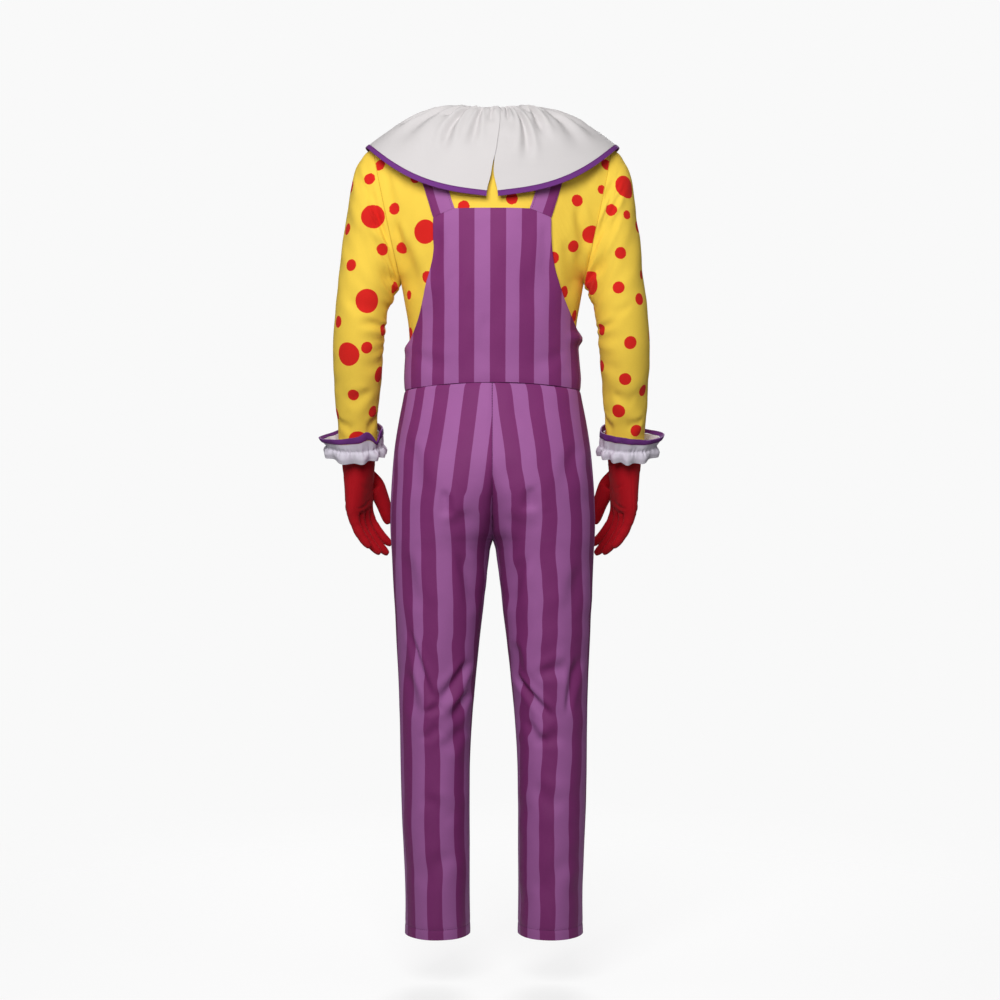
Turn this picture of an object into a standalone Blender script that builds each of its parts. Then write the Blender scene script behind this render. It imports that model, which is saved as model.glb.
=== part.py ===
"""Clown costume as it is worn: a dotted knit shirt with a cape collar and wrist frills,
striped dungarees over it, and a pair of gloves.

Metres, +Z up. The back of the wearer faces +Y and the wearer's left is +X. The origin is
the middle of the neck opening, where the costume hangs from its wearer. "Drop" is the
distance below that opening, so z = -drop. Every piece is a thin wall of cloth: a function
gives the points of its outer face from two numbers, u across and v along, and wall()
samples it, adds the inner face at the thickness of the cloth and closes the rims.
"""

import math

import bpy
import numpy as np

# ---------------------------------------------------------------- driving sizes
CLOTH = 0.0013          # wall of the knit and woven cloth
TAPE = 0.0026           # folded binding tape, four layers
SEAM = 0.0003           # distance between two pieces at a seam
LAYER = 0.0018          # distance between cloth that lies on other cloth

NAPE_DROP = 0.026       # neck seam at the centre, back and front
NECK_SIDE_DROP = 0.006  # neck seam at the sides
NECK_HALF = 0.0590      # half width of the neck opening
NECK_DEPTH = 0.0560     # from its middle to the neck seam, back and front
NECK_SHARE = 0.40       # the neck seam's share of the top edge, front or back
SHOULDER = 0.2150       # shoulder tips, from the middle
SHOULDER_DROP = 0.0740
ARMHOLE = 0.1640        # the same at the underarm
ARMHOLE_DROP = 0.3180
ARMHOLE_DEPTH = 0.0640  # half depth of the armhole
SHIRT_HEM = 0.6200      # drop of the shirt's hem, tucked in
WAIST = 0.5000          # drop of the waist seam
SIDE_TOP = 0.4200       # drop where the bibs reach the side seams
CROTCH = 0.7780
HEM = 1.4830
LEG_SWAY = -0.0027      # how far the hems stand to the wearer's right of the middle
ARM_SPREAD = {1: 0.0030, -1: -0.0010}   # how much further out each arm hangs, 1 is the left
BIB_SAG = {1: 0.0180, -1: 0.0}          # how much lower the bibs' sides hang there
CORNER_DROP = {1: 0.4340, -1: 0.4180}   # where the bibs' sides meet the side seams
CORNER_FLARE = {1: 0.0030, -1: 0.0080}  # how far they stand out there
# Drops of the rows that the shirt and the bibs on it share, underarm to waist.
BODY_ROWS = (ARMHOLE_DROP, 0.355, 0.388, SIDE_TOP, 0.447, 0.474)
BIB_CORNER_ROWS = (0.404, 0.413, 0.434) # more where the bib's edge turns to the side
BODY_COLUMNS = 16

BIB_TOP = {1: 0.1990, -1: 0.2120}       # drop of the back and the front bib's top edge
BIB_SLANT = 0.38        # the top edge falls this steeply under the straps
STRAP = 0.0400          # width of a strap
STRAP_INNER = 0.0650    # where its inner edge meets the bib's top edge, from the middle
STRAP_SHOULDER = 0.1380 # its middle on the shoulder seam
STRAP_BOW = 0.055       # how far it bows outwards between them, as a share of the shirt

COLLAR_SIDE = 0.2280    # outer edge of the collar
COLLAR_BACK = 0.1300
COLLAR_FRONT = 0.1480
COLLAR_SIDE_DROP = 0.0750
COLLAR_BACK_DROP = 0.1800
COLLAR_FOLDS = 11
COLLAR_NECK = (0.0610, 0.0580)
COLLAR_TOP = 0.0        # drop of the collar's upper fold at the sides
COLLAR_STAND = 0.06     # share of the collar's width that stands up from the neck seam
COLLAR_SEAT = 0.0005    # its lower edge above the shirt's neck seam
BINDING = 0.0072        # visible width of the bindings

GATHERS_ALONG = 0.985   # where the frill is gathered onto the sleeve
GATHERS = 0.45          # and where that is along the frill's own strip
FRILL_WAVES = 11
FRILL_SHIFT = {1: 0.0, -1: 0.21}        # turns the waves, so that the two frills differ
FRILL_COLUMNS = 44      # points round a frill, four for each wave
FRILL_SEAM = 0.20       # the binding takes this share of a frill's strip
FRILL_GAP = 0.016       # share left between them
RIM_TILT = 0.0055       # how much lower than its middle the rim is on the outer side
RIM_DIP = {1: 0.0080, -1: 0.0}          # depth of the notch in the rim, near the body
NOTCH_TURN = 2.50       # where it is, in radians from the outer side over the back
NOTCH_WIDTH = 0.22


class Table:
    """Rows of sizes under named columns. The first column is the key, in rising order."""

    def __init__(self, columns, *rows):
        self.names = columns.split()
        self.rows = np.array(rows, float)

    def at(self, name, key):
        """The named size at this key, along a smooth curve through the rows."""
        keys = self.rows[:, 0]
        values = self.rows[:, self.names.index(name)]
        slopes = np.gradient(values, keys)
        low = np.clip(np.searchsorted(keys, key) - 1, 0, len(keys) - 2)
        width = keys[low + 1] - keys[low]
        t = (np.clip(key, keys[0], keys[-1]) - keys[low]) / width
        start = values[low] * (1 + 2 * t) + slopes[low] * width * t
        end = values[low + 1] * (3 - 2 * t) - slopes[low + 1] * width * (1 - t)
        return start * (1 - t) ** 2 + end * t ** 2


# The body of the shirt: half width, and how far it reaches to the back and the front.
TORSO = Table(
    "drop side back front",
    (0.026, 0.2150, 0.0560, 0.0560),
    (0.060, 0.2150, 0.0760, 0.0800),
    (0.110, 0.2100, 0.0980, 0.1020),
    (0.170, 0.2000, 0.1130, 0.1150),
    (0.240, 0.1800, 0.1160, 0.1210),
    (0.318, 0.1640, 0.1100, 0.1180),
    (0.355, 0.1575, 0.1050, 0.1140),
    (0.390, 0.1515, 0.1000, 0.1100),
    (0.420, 0.1495, 0.0950, 0.1065),
    (0.450, 0.1515, 0.0895, 0.1040),
    (0.480, 0.1535, 0.0860, 0.1020),
    (0.520, 0.1550, 0.0870, 0.1020),
    (0.560, 0.1600, 0.0960, 0.1040),
    (0.620, 0.1690, 0.1120, 0.1060),
)

# One sleeve, as rings down the arm: the ring's outer and inner points, the drop of each,
# how far forward its middle lies, its half depth, and its lean towards the front.
SLEEVE = Table(
    "along outer outer_drop inner inner_drop mid depth lean",
    (0.00, SHOULDER, SHOULDER_DROP, ARMHOLE, ARMHOLE_DROP, 0.000, ARMHOLE_DEPTH, 0.00),
    (0.07, 0.2330, 0.0920, 0.1665, 0.3255, 0.003, 0.0640, 0.00),
    (0.15, 0.2470, 0.1230, 0.1695, 0.3325, 0.006, 0.0630, 0.00),
    (0.24, 0.2560, 0.1720, 0.1730, 0.3410, 0.010, 0.0610, 0.01),
    (0.34, 0.2635, 0.2360, 0.1775, 0.3520, 0.014, 0.0580, 0.03),
    (0.44, 0.2710, 0.3010, 0.1835, 0.3700, 0.016, 0.0550, 0.06),
    (0.54, 0.2780, 0.3650, 0.1880, 0.3990, 0.014, 0.0530, 0.12),
    (0.64, 0.2830, 0.4230, 0.1920, 0.4380, 0.006, 0.0510, 0.20),
    (0.74, 0.2830, 0.4770, 0.1965, 0.4810, -0.007, 0.0470, 0.27),
    (0.84, 0.2805, 0.5270, 0.2010, 0.5260, -0.022, 0.0430, 0.29),
    (0.93, 0.2780, 0.5730, 0.2055, 0.5700, -0.036, 0.0385, 0.29),
    (1.00, 0.2775, 0.6180, 0.2065, 0.6150, -0.048, 0.0350, 0.29),
)

# Both trouser legs: half width of the pair, inner edge of one leg, back, front and the
# place of the side seam. Above the crotch the inner edge is the centre seam.
LEGS = Table(
    "drop outer inner back front side_seam",
    (0.500, 0.1560, 0.000, 0.0890, -0.1050, 0.000),
    (0.530, 0.1615, 0.000, 0.0970, -0.1080, 0.001),
    (0.563, 0.1680, 0.000, 0.1080, -0.1095, 0.003),
    (0.600, 0.1740, 0.000, 0.1200, -0.1100, 0.005),
    (0.640, 0.1785, 0.000, 0.1280, -0.1100, 0.006),
    (0.680, 0.1815, 0.000, 0.1275, -0.1085, 0.006),
    (0.725, 0.1835, 0.000, 0.1190, -0.1065, 0.005),
    (0.778, 0.1830, 0.000, 0.1075, -0.1035, 0.003),
    (0.793, 0.1820, 0.0060, 0.1045, -0.1020, 0.002),
    (0.812, 0.1810, 0.0098, 0.1020, -0.1000, 0.002),
    (0.850, 0.1790, 0.0130, 0.0970, -0.0965, 0.001),
    (0.887, 0.1770, 0.0155, 0.0930, -0.0930, 0.001),
    (0.959, 0.1740, 0.024, 0.0850, -0.0870, 0.000),
    (1.031, 0.1705, 0.0315, 0.0780, -0.0820, 0.000),
    (1.103, 0.1685, 0.038, 0.0730, -0.0770, 0.000),
    (1.175, 0.1675, 0.042, 0.0730, -0.0720, 0.001),
    (1.247, 0.1660, 0.043, 0.0740, -0.0690, 0.002),
    (1.337, 0.1620, 0.043, 0.0740, -0.0670, 0.003),
    (1.427, 0.1590, 0.043, 0.0740, -0.0660, 0.004),
    (1.483, 0.1600, 0.042, 0.0760, -0.0670, 0.004),
)

# Half width of the back bib, from its top edge down to where it meets the side seam.
BIB_BACK = Table(
    "drop half",
    (0.199, 0.1010),
    (0.230, 0.1010),
    (0.275, 0.1040),
    (0.318, 0.1120),
    (0.355, 0.1250),
    (0.390, 0.1410),
    (0.420, 0.1560),
)
BIB_FRONT = Table(
    "drop half",
    (0.212, 0.0980),
    (0.240, 0.0980),
    (0.285, 0.1020),
    (0.325, 0.1120),
    (0.360, 0.1250),
    (0.392, 0.1410),
    (0.420, 0.1560),
)

# The longest folds of the trouser cloth, on each leg: where each starts and ends round
# the leg (0 side seam, 1 inner edge) and down it, its half width and its depth.
LEG_FOLDS = Table(
    "start start_drop end end_drop width depth face",
    (0.10, 1.095, 0.80, 1.160, 0.016, 0.0030, 1),
    (0.15, 1.150, 0.85, 1.095, 0.014, 0.0028, 1),
    (0.20, 1.215, 0.95, 1.180, 0.018, 0.0026, 1),
    (0.35, 0.850, 0.90, 0.930, 0.020, 0.0035, 1),
    (0.15, 1.120, 0.75, 1.140, 0.018, 0.0022, -1),
    (0.30, 0.690, 0.95, 0.760, 0.018, 0.0030, -1),
)

# The longest folds of a sleeve: round it (0 outer, 0.25 back, 0.5 inner), down it.
SLEEVE_FOLDS = Table(
    "start start_along end end_along width depth",
    (0.24, 0.600, 0.50, 0.640, 0.015, 0.0026),
    (0.28, 0.680, 0.52, 0.655, 0.014, 0.0024),
    (0.50, 0.585, 0.74, 0.640, 0.018, 0.0030),
    (0.52, 0.700, 0.76, 0.670, 0.018, 0.0030),
)

# A frill, from its upper rim to its lower hem: height above the gathers, radius, how far
# outwards it hangs, depth of the small waves and of the three slow ones.
FRILL = Table(
    "along rise radius out wave sway",
    (0.00, 0.0237, 0.0580, 0.0105, 0.0000, 0.0030),
    (0.17, 0.0160, 0.0565, 0.0090, 0.0010, 0.0022),
    (0.33, 0.0058, 0.0548, 0.0065, 0.0018, 0.0006),
    (0.45, 0.0000, 0.0378, 0.0000, 0.0000, 0.0000),
    (0.58, -0.0042, 0.0535, 0.0050, 0.0024, 0.0006),
    (0.78, -0.0125, 0.0555, 0.0050, 0.0036, 0.0010),
    (1.00, -0.0214, 0.0545, 0.0050, 0.0046, 0.0010),
)

# Fingers from the little to the index: width of each, length, how far its knuckle lies
# down the hand, and how much it curls beside the others.
FINGERS = Table(
    "place width length knuckle curl",
    (0, 0.0188, 0.074, 0.115, 0.84),
    (1, 0.0201, 0.089, 0.122, 0.93),
    (2, 0.0205, 0.096, 0.125, 1.00),
    (3, 0.0201, 0.087, 0.122, 1.06),
)
FINGER_PITCH = 0.0214
FINGER_DEEP = 1.10      # a finger's thickness beside its width
# The hand above the fingers: half width and half thickness of the glove down the hand.
PALM = Table(
    "down half thick",
    (-0.007, 0.0328, 0.0328),
    (0.014, 0.0318, 0.0312),
    (0.042, 0.0330, 0.0275),
    (0.070, 0.0380, 0.0215),
    (0.098, 0.0432, 0.0182),
    (0.111, 0.0434, 0.0165),
)
THUMB = Table(
    "along down across palmar radius",
    (0.0, 0.052, 0.032, 0.003, 0.0200),
    (0.15, 0.073, 0.039, 0.013, 0.0205),
    (0.3, 0.096, 0.044, 0.021, 0.0168),
    (0.6, 0.118, 0.048, 0.029, 0.0145),
    (0.9, 0.142, 0.048, 0.035, 0.0118),
    (1.0, 0.153, 0.048, 0.037, 0.0056),
)
WRIST = (0.2420, -0.0478, -0.6125)
HAND_LEAN = math.radians(15)
HAND_TURN = math.radians(20)
FINGER_CURL = (14, 22, 34, 46, 54)      # degrees towards the palm along a finger
FINGER_ROWS = (0.10, 0.34, 0.60, 0.84, 0.97)
FINGER_TAPER = (1.00, 0.99, 0.93, 0.80, 0.48)

SIDES = {"left": 1, "right": -1}
FACES = {"back": 1, "front": -1}


# ---------------------------------------------------------------- walls of cloth
def unit(vectors):
    """Each vector at length 1."""
    return vectors / np.linalg.norm(vectors, axis=-1, keepdims=True)


def across_surface(surface, u, v, step=1e-4):
    """Unit vector square to the surface at u, v."""
    along_u = surface(u + step, v) - surface(u - step, v)
    along_v = surface(u, v + step) - surface(u, v - step)
    return unit(np.cross(along_u, along_v))


def grid_faces(rows, columns, wraps):
    """Quads of a grid of points, whose columns close into a ring if it wraps."""
    quads = []
    for row in range(rows - 1):
        for column in range(columns if wraps else columns - 1):
            right = (column + 1) % columns
            quads.append((
                row * columns + column,
                row * columns + right,
                (row + 1) * columns + right,
                (row + 1) * columns + column,
            ))
    return quads


def split_quads(points, quads):
    """Two triangles for each quad, cut along its shorter diagonal."""
    triangles = []
    for a, b, c, d in quads:
        if np.linalg.norm(points[a] - points[c]) <= np.linalg.norm(points[b] - points[d]):
            triangles += [(a, b, c), (a, c, d)]
        else:
            triangles += [(a, b, d), (b, c, d)]
    return triangles


def close_wall(name, points, inner, quads, colour):
    """An object whose outer and inner faces hold these points, closed along every rim.
    Both faces are cut along the same diagonals, so that they never cross."""
    count = len(points)
    faces = split_quads(points, quads)
    edges = {edge for face in faces for edge in zip(face, face[1:] + face[:1])}
    rims = [edge for edge in edges if edge[::-1] not in edges]
    closed = faces + [tuple(index + count for index in reversed(face)) for face in faces]
    closed += [(end, start, start + count, end + count) for start, end in sorted(rims)]
    return add_object(name, np.concatenate([points, inner]), closed, colour)


def add_object(name, points, faces, colour):
    """A smooth-shaded object from points and faces, turned so that its faces point out."""
    volume = 0.0
    for face in faces:
        for left, right in zip(face[1:-1], face[2:]):
            volume += np.dot(points[face[0]], np.cross(points[left], points[right]))
    if volume < 0:
        faces = [face[::-1] for face in faces]
    mesh = bpy.data.meshes.new(name)
    mesh.from_pydata(points.tolist(), [], faces)
    mesh.materials.append(cloth_material(*colour))
    mesh.shade_smooth()
    mesh.set_sharp_from_angle(angle=math.radians(50))
    made = bpy.data.objects.new(name, mesh)
    bpy.context.scene.collection.objects.link(made)
    return made


def close_grid(name, outer, inner, colour, wraps=False):
    """The wall between two grids of points, the outer and the inner face."""
    faces = grid_faces(outer.shape[0], outer.shape[1], wraps)
    return close_wall(name, outer.reshape(-1, 3), inner.reshape(-1, 3), faces, colour)


def wall(name, surface, us, vs, colour, inward, thickness=CLOTH, wraps=False, lift=0.0):
    """The wall of cloth whose outer face is the surface, moved out by lift. inward is 1 or
    -1, whichever takes the inner face to the hollow side."""
    u, v = np.meshgrid(us, vs)
    margin = 0.01 * (vs[-1] - vs[0])
    square = across_surface(surface, u, np.clip(v, vs[0] + margin, vs[-1] - margin)) * inward
    outer = surface(u, v) - square * lift
    return close_grid(name, outer, outer + square * thickness, colour, wraps)


def cloth_material(name, red, green, blue):
    """A matt material of this name and colour, made once."""
    found = bpy.data.materials.get(name)
    if found:
        return found
    material = bpy.data.materials.new(name)
    material.use_nodes = True
    shader = material.node_tree.nodes["Principled BSDF"]
    shader.inputs["Base Color"].default_value = (red, green, blue, 1)
    shader.inputs["Roughness"].default_value = 0.8
    shader.inputs["Metallic"].default_value = 0.0
    return material


YELLOW = ("yellow_knit", 0.86, 0.60, 0.08)
WHITE = ("white_cloth", 0.72, 0.70, 0.74)
PURPLE = ("purple_stripes", 0.19, 0.05, 0.18)
TAPE_PURPLE = ("purple_tape", 0.16, 0.04, 0.22)
RED = ("red_knit", 0.40, 0.01, 0.02)


def points(x, y, z):
    """Points from their coordinates, which may be arrays or single numbers."""
    return np.stack(np.broadcast_arrays(x, y, z), axis=-1).astype(float)


def soft(t):
    """0 to 1 with no slope at either end."""
    t = np.clip(t, 0, 1)
    return t * t * (3 - 2 * t)


def steps(*parts):
    """One rising row of values, from (start, end, number of spaces) parts."""
    values = [parts[0][0]]
    for start, end, spaces in parts:
        values += [start + (end - start) * (i + 1) / spaces for i in range(spaces)]
    return np.array(values)


# ---------------------------------------------------------------- shirt
def shoulder_line(u, face):
    """The top edge of the front or back: half the neck seam, then the shoulder seams."""
    size = np.abs(u)
    turn = np.clip(size / NECK_SHARE, 0, 1) * math.pi / 2
    run = np.clip((size - NECK_SHARE) / (1 - NECK_SHARE), 0, None)
    x = np.sign(u) * (NECK_HALF * np.sin(turn) + (SHOULDER - NECK_HALF) * run)
    y = face * NECK_DEPTH * np.cos(turn)
    neck_drop = NECK_SIDE_DROP + (NAPE_DROP - NECK_SIDE_DROP) * np.cos(turn) ** 2
    return points(x, y, -(neck_drop + (SHOULDER_DROP - NECK_SIDE_DROP) * run ** 1.5))


def shirt_row(u, rise, face):
    """A row of the shirt above the underarm, before the shoulder line shapes it."""
    ring = math.pi * rise
    climb = (1 - np.cos(ring)) / 2
    side = ARMHOLE + (SHOULDER - ARMHOLE) * climb
    side_drop = ARMHOLE_DROP + (SHOULDER_DROP - ARMHOLE_DROP) * climb
    side_y = face * ARMHOLE_DEPTH * np.sin(ring)
    drop = ARMHOLE_DROP + (NAPE_DROP - ARMHOLE_DROP) * np.sin(ring / 2)
    centre_y = face * TORSO.at("back" if face > 0 else "front", drop)
    most = math.pi / 2 - 0.65 * np.sin(ring / 2)
    bend = (np.cos(u * most) - np.cos(most)) / (1 - np.cos(most))
    x = side * np.sin(u * most) / np.sin(most)
    y = side_y + (centre_y - side_y) * bend
    return points(x, y, -(side_drop + (drop - side_drop) * bend))


def shirt_surface(face):
    """Front or back: u from the right edge, -1, to the left, 1; v from the hem, 0, to the
    underarm, 1, and on to the shoulder, 2."""
    column = "back" if face > 0 else "front"

    def surface(u, v):
        drop = SHIRT_HEM + (ARMHOLE_DROP - SHIRT_HEM) * v
        half = TORSO.at("side", drop)
        depth = TORSO.at(column, drop)
        turn = u * math.pi / 2
        below = points(half * np.sin(turn), face * depth * np.cos(turn), -drop)
        rise = np.clip(v - 1, 0, None)
        above = shirt_row(u, rise, face)
        shape = shoulder_line(u, face) - shirt_row(u, np.ones_like(rise), face)
        weight = points(rise ** 2, rise ** 4, soft(rise))
        above = above + weight * shape
        found = np.where((v > 1)[..., None], above, below)
        return found + np.array((0, face * SEAM / 2, 0))

    return surface


def find_on_shirt(face, x, drop):
    """The u, v where the front or back passes the given x and drop."""
    surface = shirt_surface(face)
    u = np.array(x / TORSO.at("side", drop))
    v = np.where(
        drop > ARMHOLE_DROP,
        (drop - SHIRT_HEM) / (ARMHOLE_DROP - SHIRT_HEM),
        1 + (ARMHOLE_DROP - drop) / ARMHOLE_DROP,
    )
    step = 1e-4
    for _ in range(25):
        here = surface(u, v)
        du = (surface(u + step, v) - surface(u - step, v)) / (2 * step)
        dv = (surface(u, v + step) - surface(u, v - step)) / (2 * step)
        miss_x, miss_z = x - here[..., 0], -drop - here[..., 2]
        area = du[..., 0] * dv[..., 2] - du[..., 2] * dv[..., 0]
        area = np.where(np.abs(area) < 1e-5, -1e-5, area)
        u = np.clip(u + 0.8 * (miss_x * dv[..., 2] - miss_z * dv[..., 0]) / area, -1, 1)
        v = v + 0.8 * (miss_z * du[..., 0] - miss_x * du[..., 2]) / area
    return u, v


def make_shirt():
    across = steps((-1, 1, BODY_COLUMNS))
    drops = np.array((SHIRT_HEM, 0.560, WAIST) + BODY_ROWS[::-1])
    up = np.concatenate([(SHIRT_HEM - drops) / (SHIRT_HEM - ARMHOLE_DROP),
                         steps((1, 2, 7))[1:]])
    for name, face in FACES.items():
        wall(f"shirt_{name}", shirt_surface(face), across, up, YELLOW, face)


# ---------------------------------------------------------------- sleeves and frills
def folds_at(table, u, v, metres_u, metres_v, columns):
    """Depth of the folds of a table at u, v: soft troughs with low ridges beside them."""
    start_u, start_v, end_u, end_v = columns
    total = np.zeros(np.broadcast(u, v).shape)
    for row in range(len(table.rows)):
        size = dict(zip(table.names, table.rows[row]))
        from_x, from_y = size[start_u] * metres_u, size[start_v] * metres_v
        run_x = size[end_u] * metres_u - from_x
        run_y = size[end_v] * metres_v - from_y
        length = math.hypot(run_x, run_y)
        x, y = u * metres_u - from_x, v * metres_v - from_y
        along = (x * run_x + y * run_y) / length ** 2
        aside = (y * run_x - x * run_y) / length / size["width"]
        shape = np.exp(-aside ** 2) * (1 - 0.9 * aside ** 2)
        fade = soft(along / 0.3 + 0.2) * soft((1 - along) / 0.3 + 0.2)
        total = total + size["depth"] * shape * fade
    return total


def sleeve_surface(side):
    """u round the arm from the outer line over the back; v from the armhole to the wrist."""
    plane = unit(np.array((ARMHOLE_DROP - SHOULDER_DROP, 0, ARMHOLE - SHOULDER)))

    def surface(u, v):
        turn = u * 2 * math.pi
        outer, inner = SLEEVE.at("outer", v), SLEEVE.at("inner", v)
        outer_drop, inner_drop = SLEEVE.at("outer_drop", v), SLEEVE.at("inner_drop", v)
        depth, lean = SLEEVE.at("depth", v), SLEEVE.at("lean", v)
        trough = folds_at(SLEEVE_FOLDS, u, v, 0.30, 0.56,
                          ("start", "start_along", "end", "end_along"))
        shrink = 1 - trough / depth
        x = (outer + inner) / 2 + (outer - inner) / 2 * np.cos(turn) * shrink
        drop = (outer_drop + inner_drop) / 2 + (outer_drop - inner_drop) / 2 * np.cos(turn)
        y = SLEEVE.at("mid", v) + depth * np.sin(turn) * np.cos(lean) * shrink
        drop = drop + depth * np.sin(turn) * np.sin(lean)
        spread = ARM_SPREAD[side] * soft(v / 0.5)
        found = points(x + spread, y, -drop) + plane * SEAM
        return found * np.array((side, 1, 1))

    return surface


def make_sleeves():
    """The first ring's inner edge stays in the plane of the armhole, clear of the shirt."""
    around = np.arange(20) / 20
    down = SLEEVE.rows[:, 0]
    plane = unit(np.array((ARMHOLE_DROP - SHOULDER_DROP, 0, ARMHOLE - SHOULDER)))
    for name, side in SIDES.items():
        surface = sleeve_surface(side)
        u, v = np.meshgrid(around, down)
        square = across_surface(surface, u, np.clip(v, 0.01, 0.99)) * side
        away = plane * np.array((side, 1, 1))
        first = square[0] - (square[0] @ away)[:, None] * away
        square[0] = unit(first)
        outer = surface(u, v)
        close_grid(f"sleeve_{name}", outer, outer + square * CLOTH, YELLOW, wraps=True)


def wrist_frame(side):
    """Middle of the frill's gathers, and its axes: outwards, to the back, up the arm."""
    size = {name: float(SLEEVE.at(name, GATHERS_ALONG)) for name in SLEEVE.names[1:]}
    x = (size["outer"] + size["inner"]) / 2 + ARM_SPREAD[side]
    drop = (size["outer_drop"] + size["inner_drop"]) / 2
    middle = np.array((side * x, size["mid"], -drop))
    out = np.array((side, 0, 0.0))
    back = np.array((0, math.cos(size["lean"]), -math.sin(size["lean"])))
    up = np.array((0, math.sin(size["lean"]), math.cos(size["lean"])))
    return middle, out, back, up


def frill_surface(side):
    """u round the wrist from its outer side over the back; v from the rim to the hem."""
    middle, out, back, up = wrist_frame(side)
    shift = FRILL_SHIFT[side]

    def surface(u, v):
        turn = u * 2 * math.pi
        uneven = turn + 0.16 * np.sin(2 * turn + 1 + 5 * shift) + shift
        wave = np.cos(FRILL_WAVES * uneven) * FRILL.at("wave", v)
        sway = np.cos(3 * turn - 0.6 + 3 * shift) * FRILL.at("sway", v)
        radius = FRILL.at("radius", v) + wave + sway
        rise = FRILL.at("rise", v) + 0.7 * sway - 0.3 * wave * (v > GATHERS)
        rim = soft(1 - v / GATHERS)
        notch = np.exp(-((np.mod(turn, 2 * math.pi) - NOTCH_TURN) / NOTCH_WIDTH) ** 2)
        rise = rise - rim * (RIM_TILT * np.cos(turn) + RIM_DIP[side] * notch)
        reach = radius * np.cos(turn) + FRILL.at("out", v)
        return (middle + reach[..., None] * out
                + (radius * np.sin(turn))[..., None] * back + rise[..., None] * up)

    return surface


def make_frills():
    around = np.arange(FRILL_COLUMNS) / FRILL_COLUMNS
    down = (FRILL_SEAM + FRILL_GAP, 0.33, GATHERS, 0.58, 0.78, 1.0)
    for name, side in SIDES.items():
        surface = frill_surface(side)
        wall(f"frill_{name}", surface, around, down, WHITE, side, wraps=True)
        wall(f"frill_binding_{name}", surface, around, (0.0, FRILL_SEAM), TAPE_PURPLE, side,
             thickness=TAPE, wraps=True, lift=(TAPE - CLOTH) / 2)


# ---------------------------------------------------------------- collar
def collar_surface(u, v):
    """u round the neck, from 0 at the centre back over the wearer's left, the front and
    the right, to 1; v from the neck seam, -COLLAR_STAND, up to the fold round the neck, 0,
    and down to the outer edge, 1."""
    turn = math.pi / 2 - 2 * math.pi * u
    across, back = np.cos(turn), np.sin(turn)
    depth = np.where(back > 0, COLLAR_BACK, COLLAR_FRONT)
    square = 2 / 2.25                # a little squarer than an ellipse
    aside = np.abs(across) ** square
    edge_x = COLLAR_SIDE * np.sign(across) * aside
    edge_y = depth * np.sign(back) * np.abs(back) ** square
    level = np.where(back > 0, 1 - 0.25 * aside - 0.75 * aside ** 3, np.abs(back) ** 2.7)
    edge_drop = COLLAR_SIDE_DROP + (COLLAR_BACK_DROP - COLLAR_SIDE_DROP) * level
    out, stand = np.clip(v, 0, None), np.clip(-v / COLLAR_STAND, 0, 1)
    neck_x = (COLLAR_NECK[0] + (NECK_HALF - COLLAR_NECK[0]) * stand) * across
    neck_y = (COLLAR_NECK[1] + (NECK_DEPTH - COLLAR_NECK[1]) * stand) * back
    seam_drop = NECK_SIDE_DROP + (NAPE_DROP - NECK_SIDE_DROP) * back ** 2 - COLLAR_SEAT
    top_drop = COLLAR_TOP + 0.012 * back ** 2
    neck_drop = top_drop + (seam_drop - top_drop) * stand
    fall = out ** (1.9 - 0.35 * back ** 2)
    swell = COLLAR_FOLDS * 2 * math.pi * u + 0.5 * np.sin(6 * math.pi * u)
    fold = 0.0042 * np.cos(swell) * soft(v / 0.10) * (1 - soft(v / 0.95)) ** 0.8
    open_back = 0.0045 * soft((v - 0.55) / 0.45) * np.cos(math.pi * u) ** 40
    x = neck_x + (edge_x - neck_x) * out
    x = x + np.where(u < 0.5, open_back, -open_back)
    y = neck_y + (edge_y - neck_y) * out
    drop = neck_drop + (edge_drop - neck_drop) * fall
    return points(x, y + fold * back * 0.6, -drop + fold * 0.8)


def make_collar():
    """The strip stops short of the centre back on both sides, where it is open."""
    split = 0.0008
    around = steps((split, 1 - split, 74))
    edge = 1 - BINDING / 0.19
    gap = 0.0018
    down = (-COLLAR_STAND, 0, 0.06, 0.18, 0.36, 0.56, 0.76, edge - gap)
    wall("collar", collar_surface, around, down, WHITE, -1)
    wall("collar_binding", collar_surface, around, (edge, 1), TAPE_PURPLE, -1,
         thickness=TAPE, lift=(TAPE - CLOTH) / 2)


# ---------------------------------------------------------------- dungarees
def leg_surface(side, face):
    """u from the side seam, 0, round the back or front to the centre or inner seam, 1;
    v is the drop."""
    column = "back" if face > 0 else "front"

    def surface(u, v):
        outer, inner = LEGS.at("outer", v), LEGS.at("inner", v)
        seam = LEGS.at("side_seam", v)
        depth = np.abs(LEGS.at(column, v) - seam)
        share = np.clip((v - WAIST) / (CROTCH - WAIST), 1e-6, 1)
        middle = (outer + np.clip(inner, 0, None)) / 2 * share ** 1.6
        middle = np.where(v > CROTCH, (outer + inner) / 2, middle)
        reach = np.sqrt(1 - share ** 5)         # how far out the centre seam lies
        last = math.pi - np.arcsin(np.where(v > CROTCH, 0.0, reach))
        turn = u * last
        most_in = np.maximum(np.abs(np.cos(last)), 1e-9)
        inside = (middle - np.where(v > CROTCH, inner, 0)) * np.abs(np.cos(turn)) / most_in
        x = middle + np.where(np.cos(turn) > 0, (outer - middle) * np.cos(turn), -inside)
        trough = leg_folds(u, v, face)
        bulge = depth * np.sin(turn) - trough * np.sqrt(np.clip(np.sin(turn), 0, 1))
        sway = LEG_SWAY * soft((v - WAIST) / (HEM - WAIST))
        return points(side * (x + SEAM / 2) + sway, seam + face * (bulge + SEAM / 2), -v)

    return surface


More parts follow.
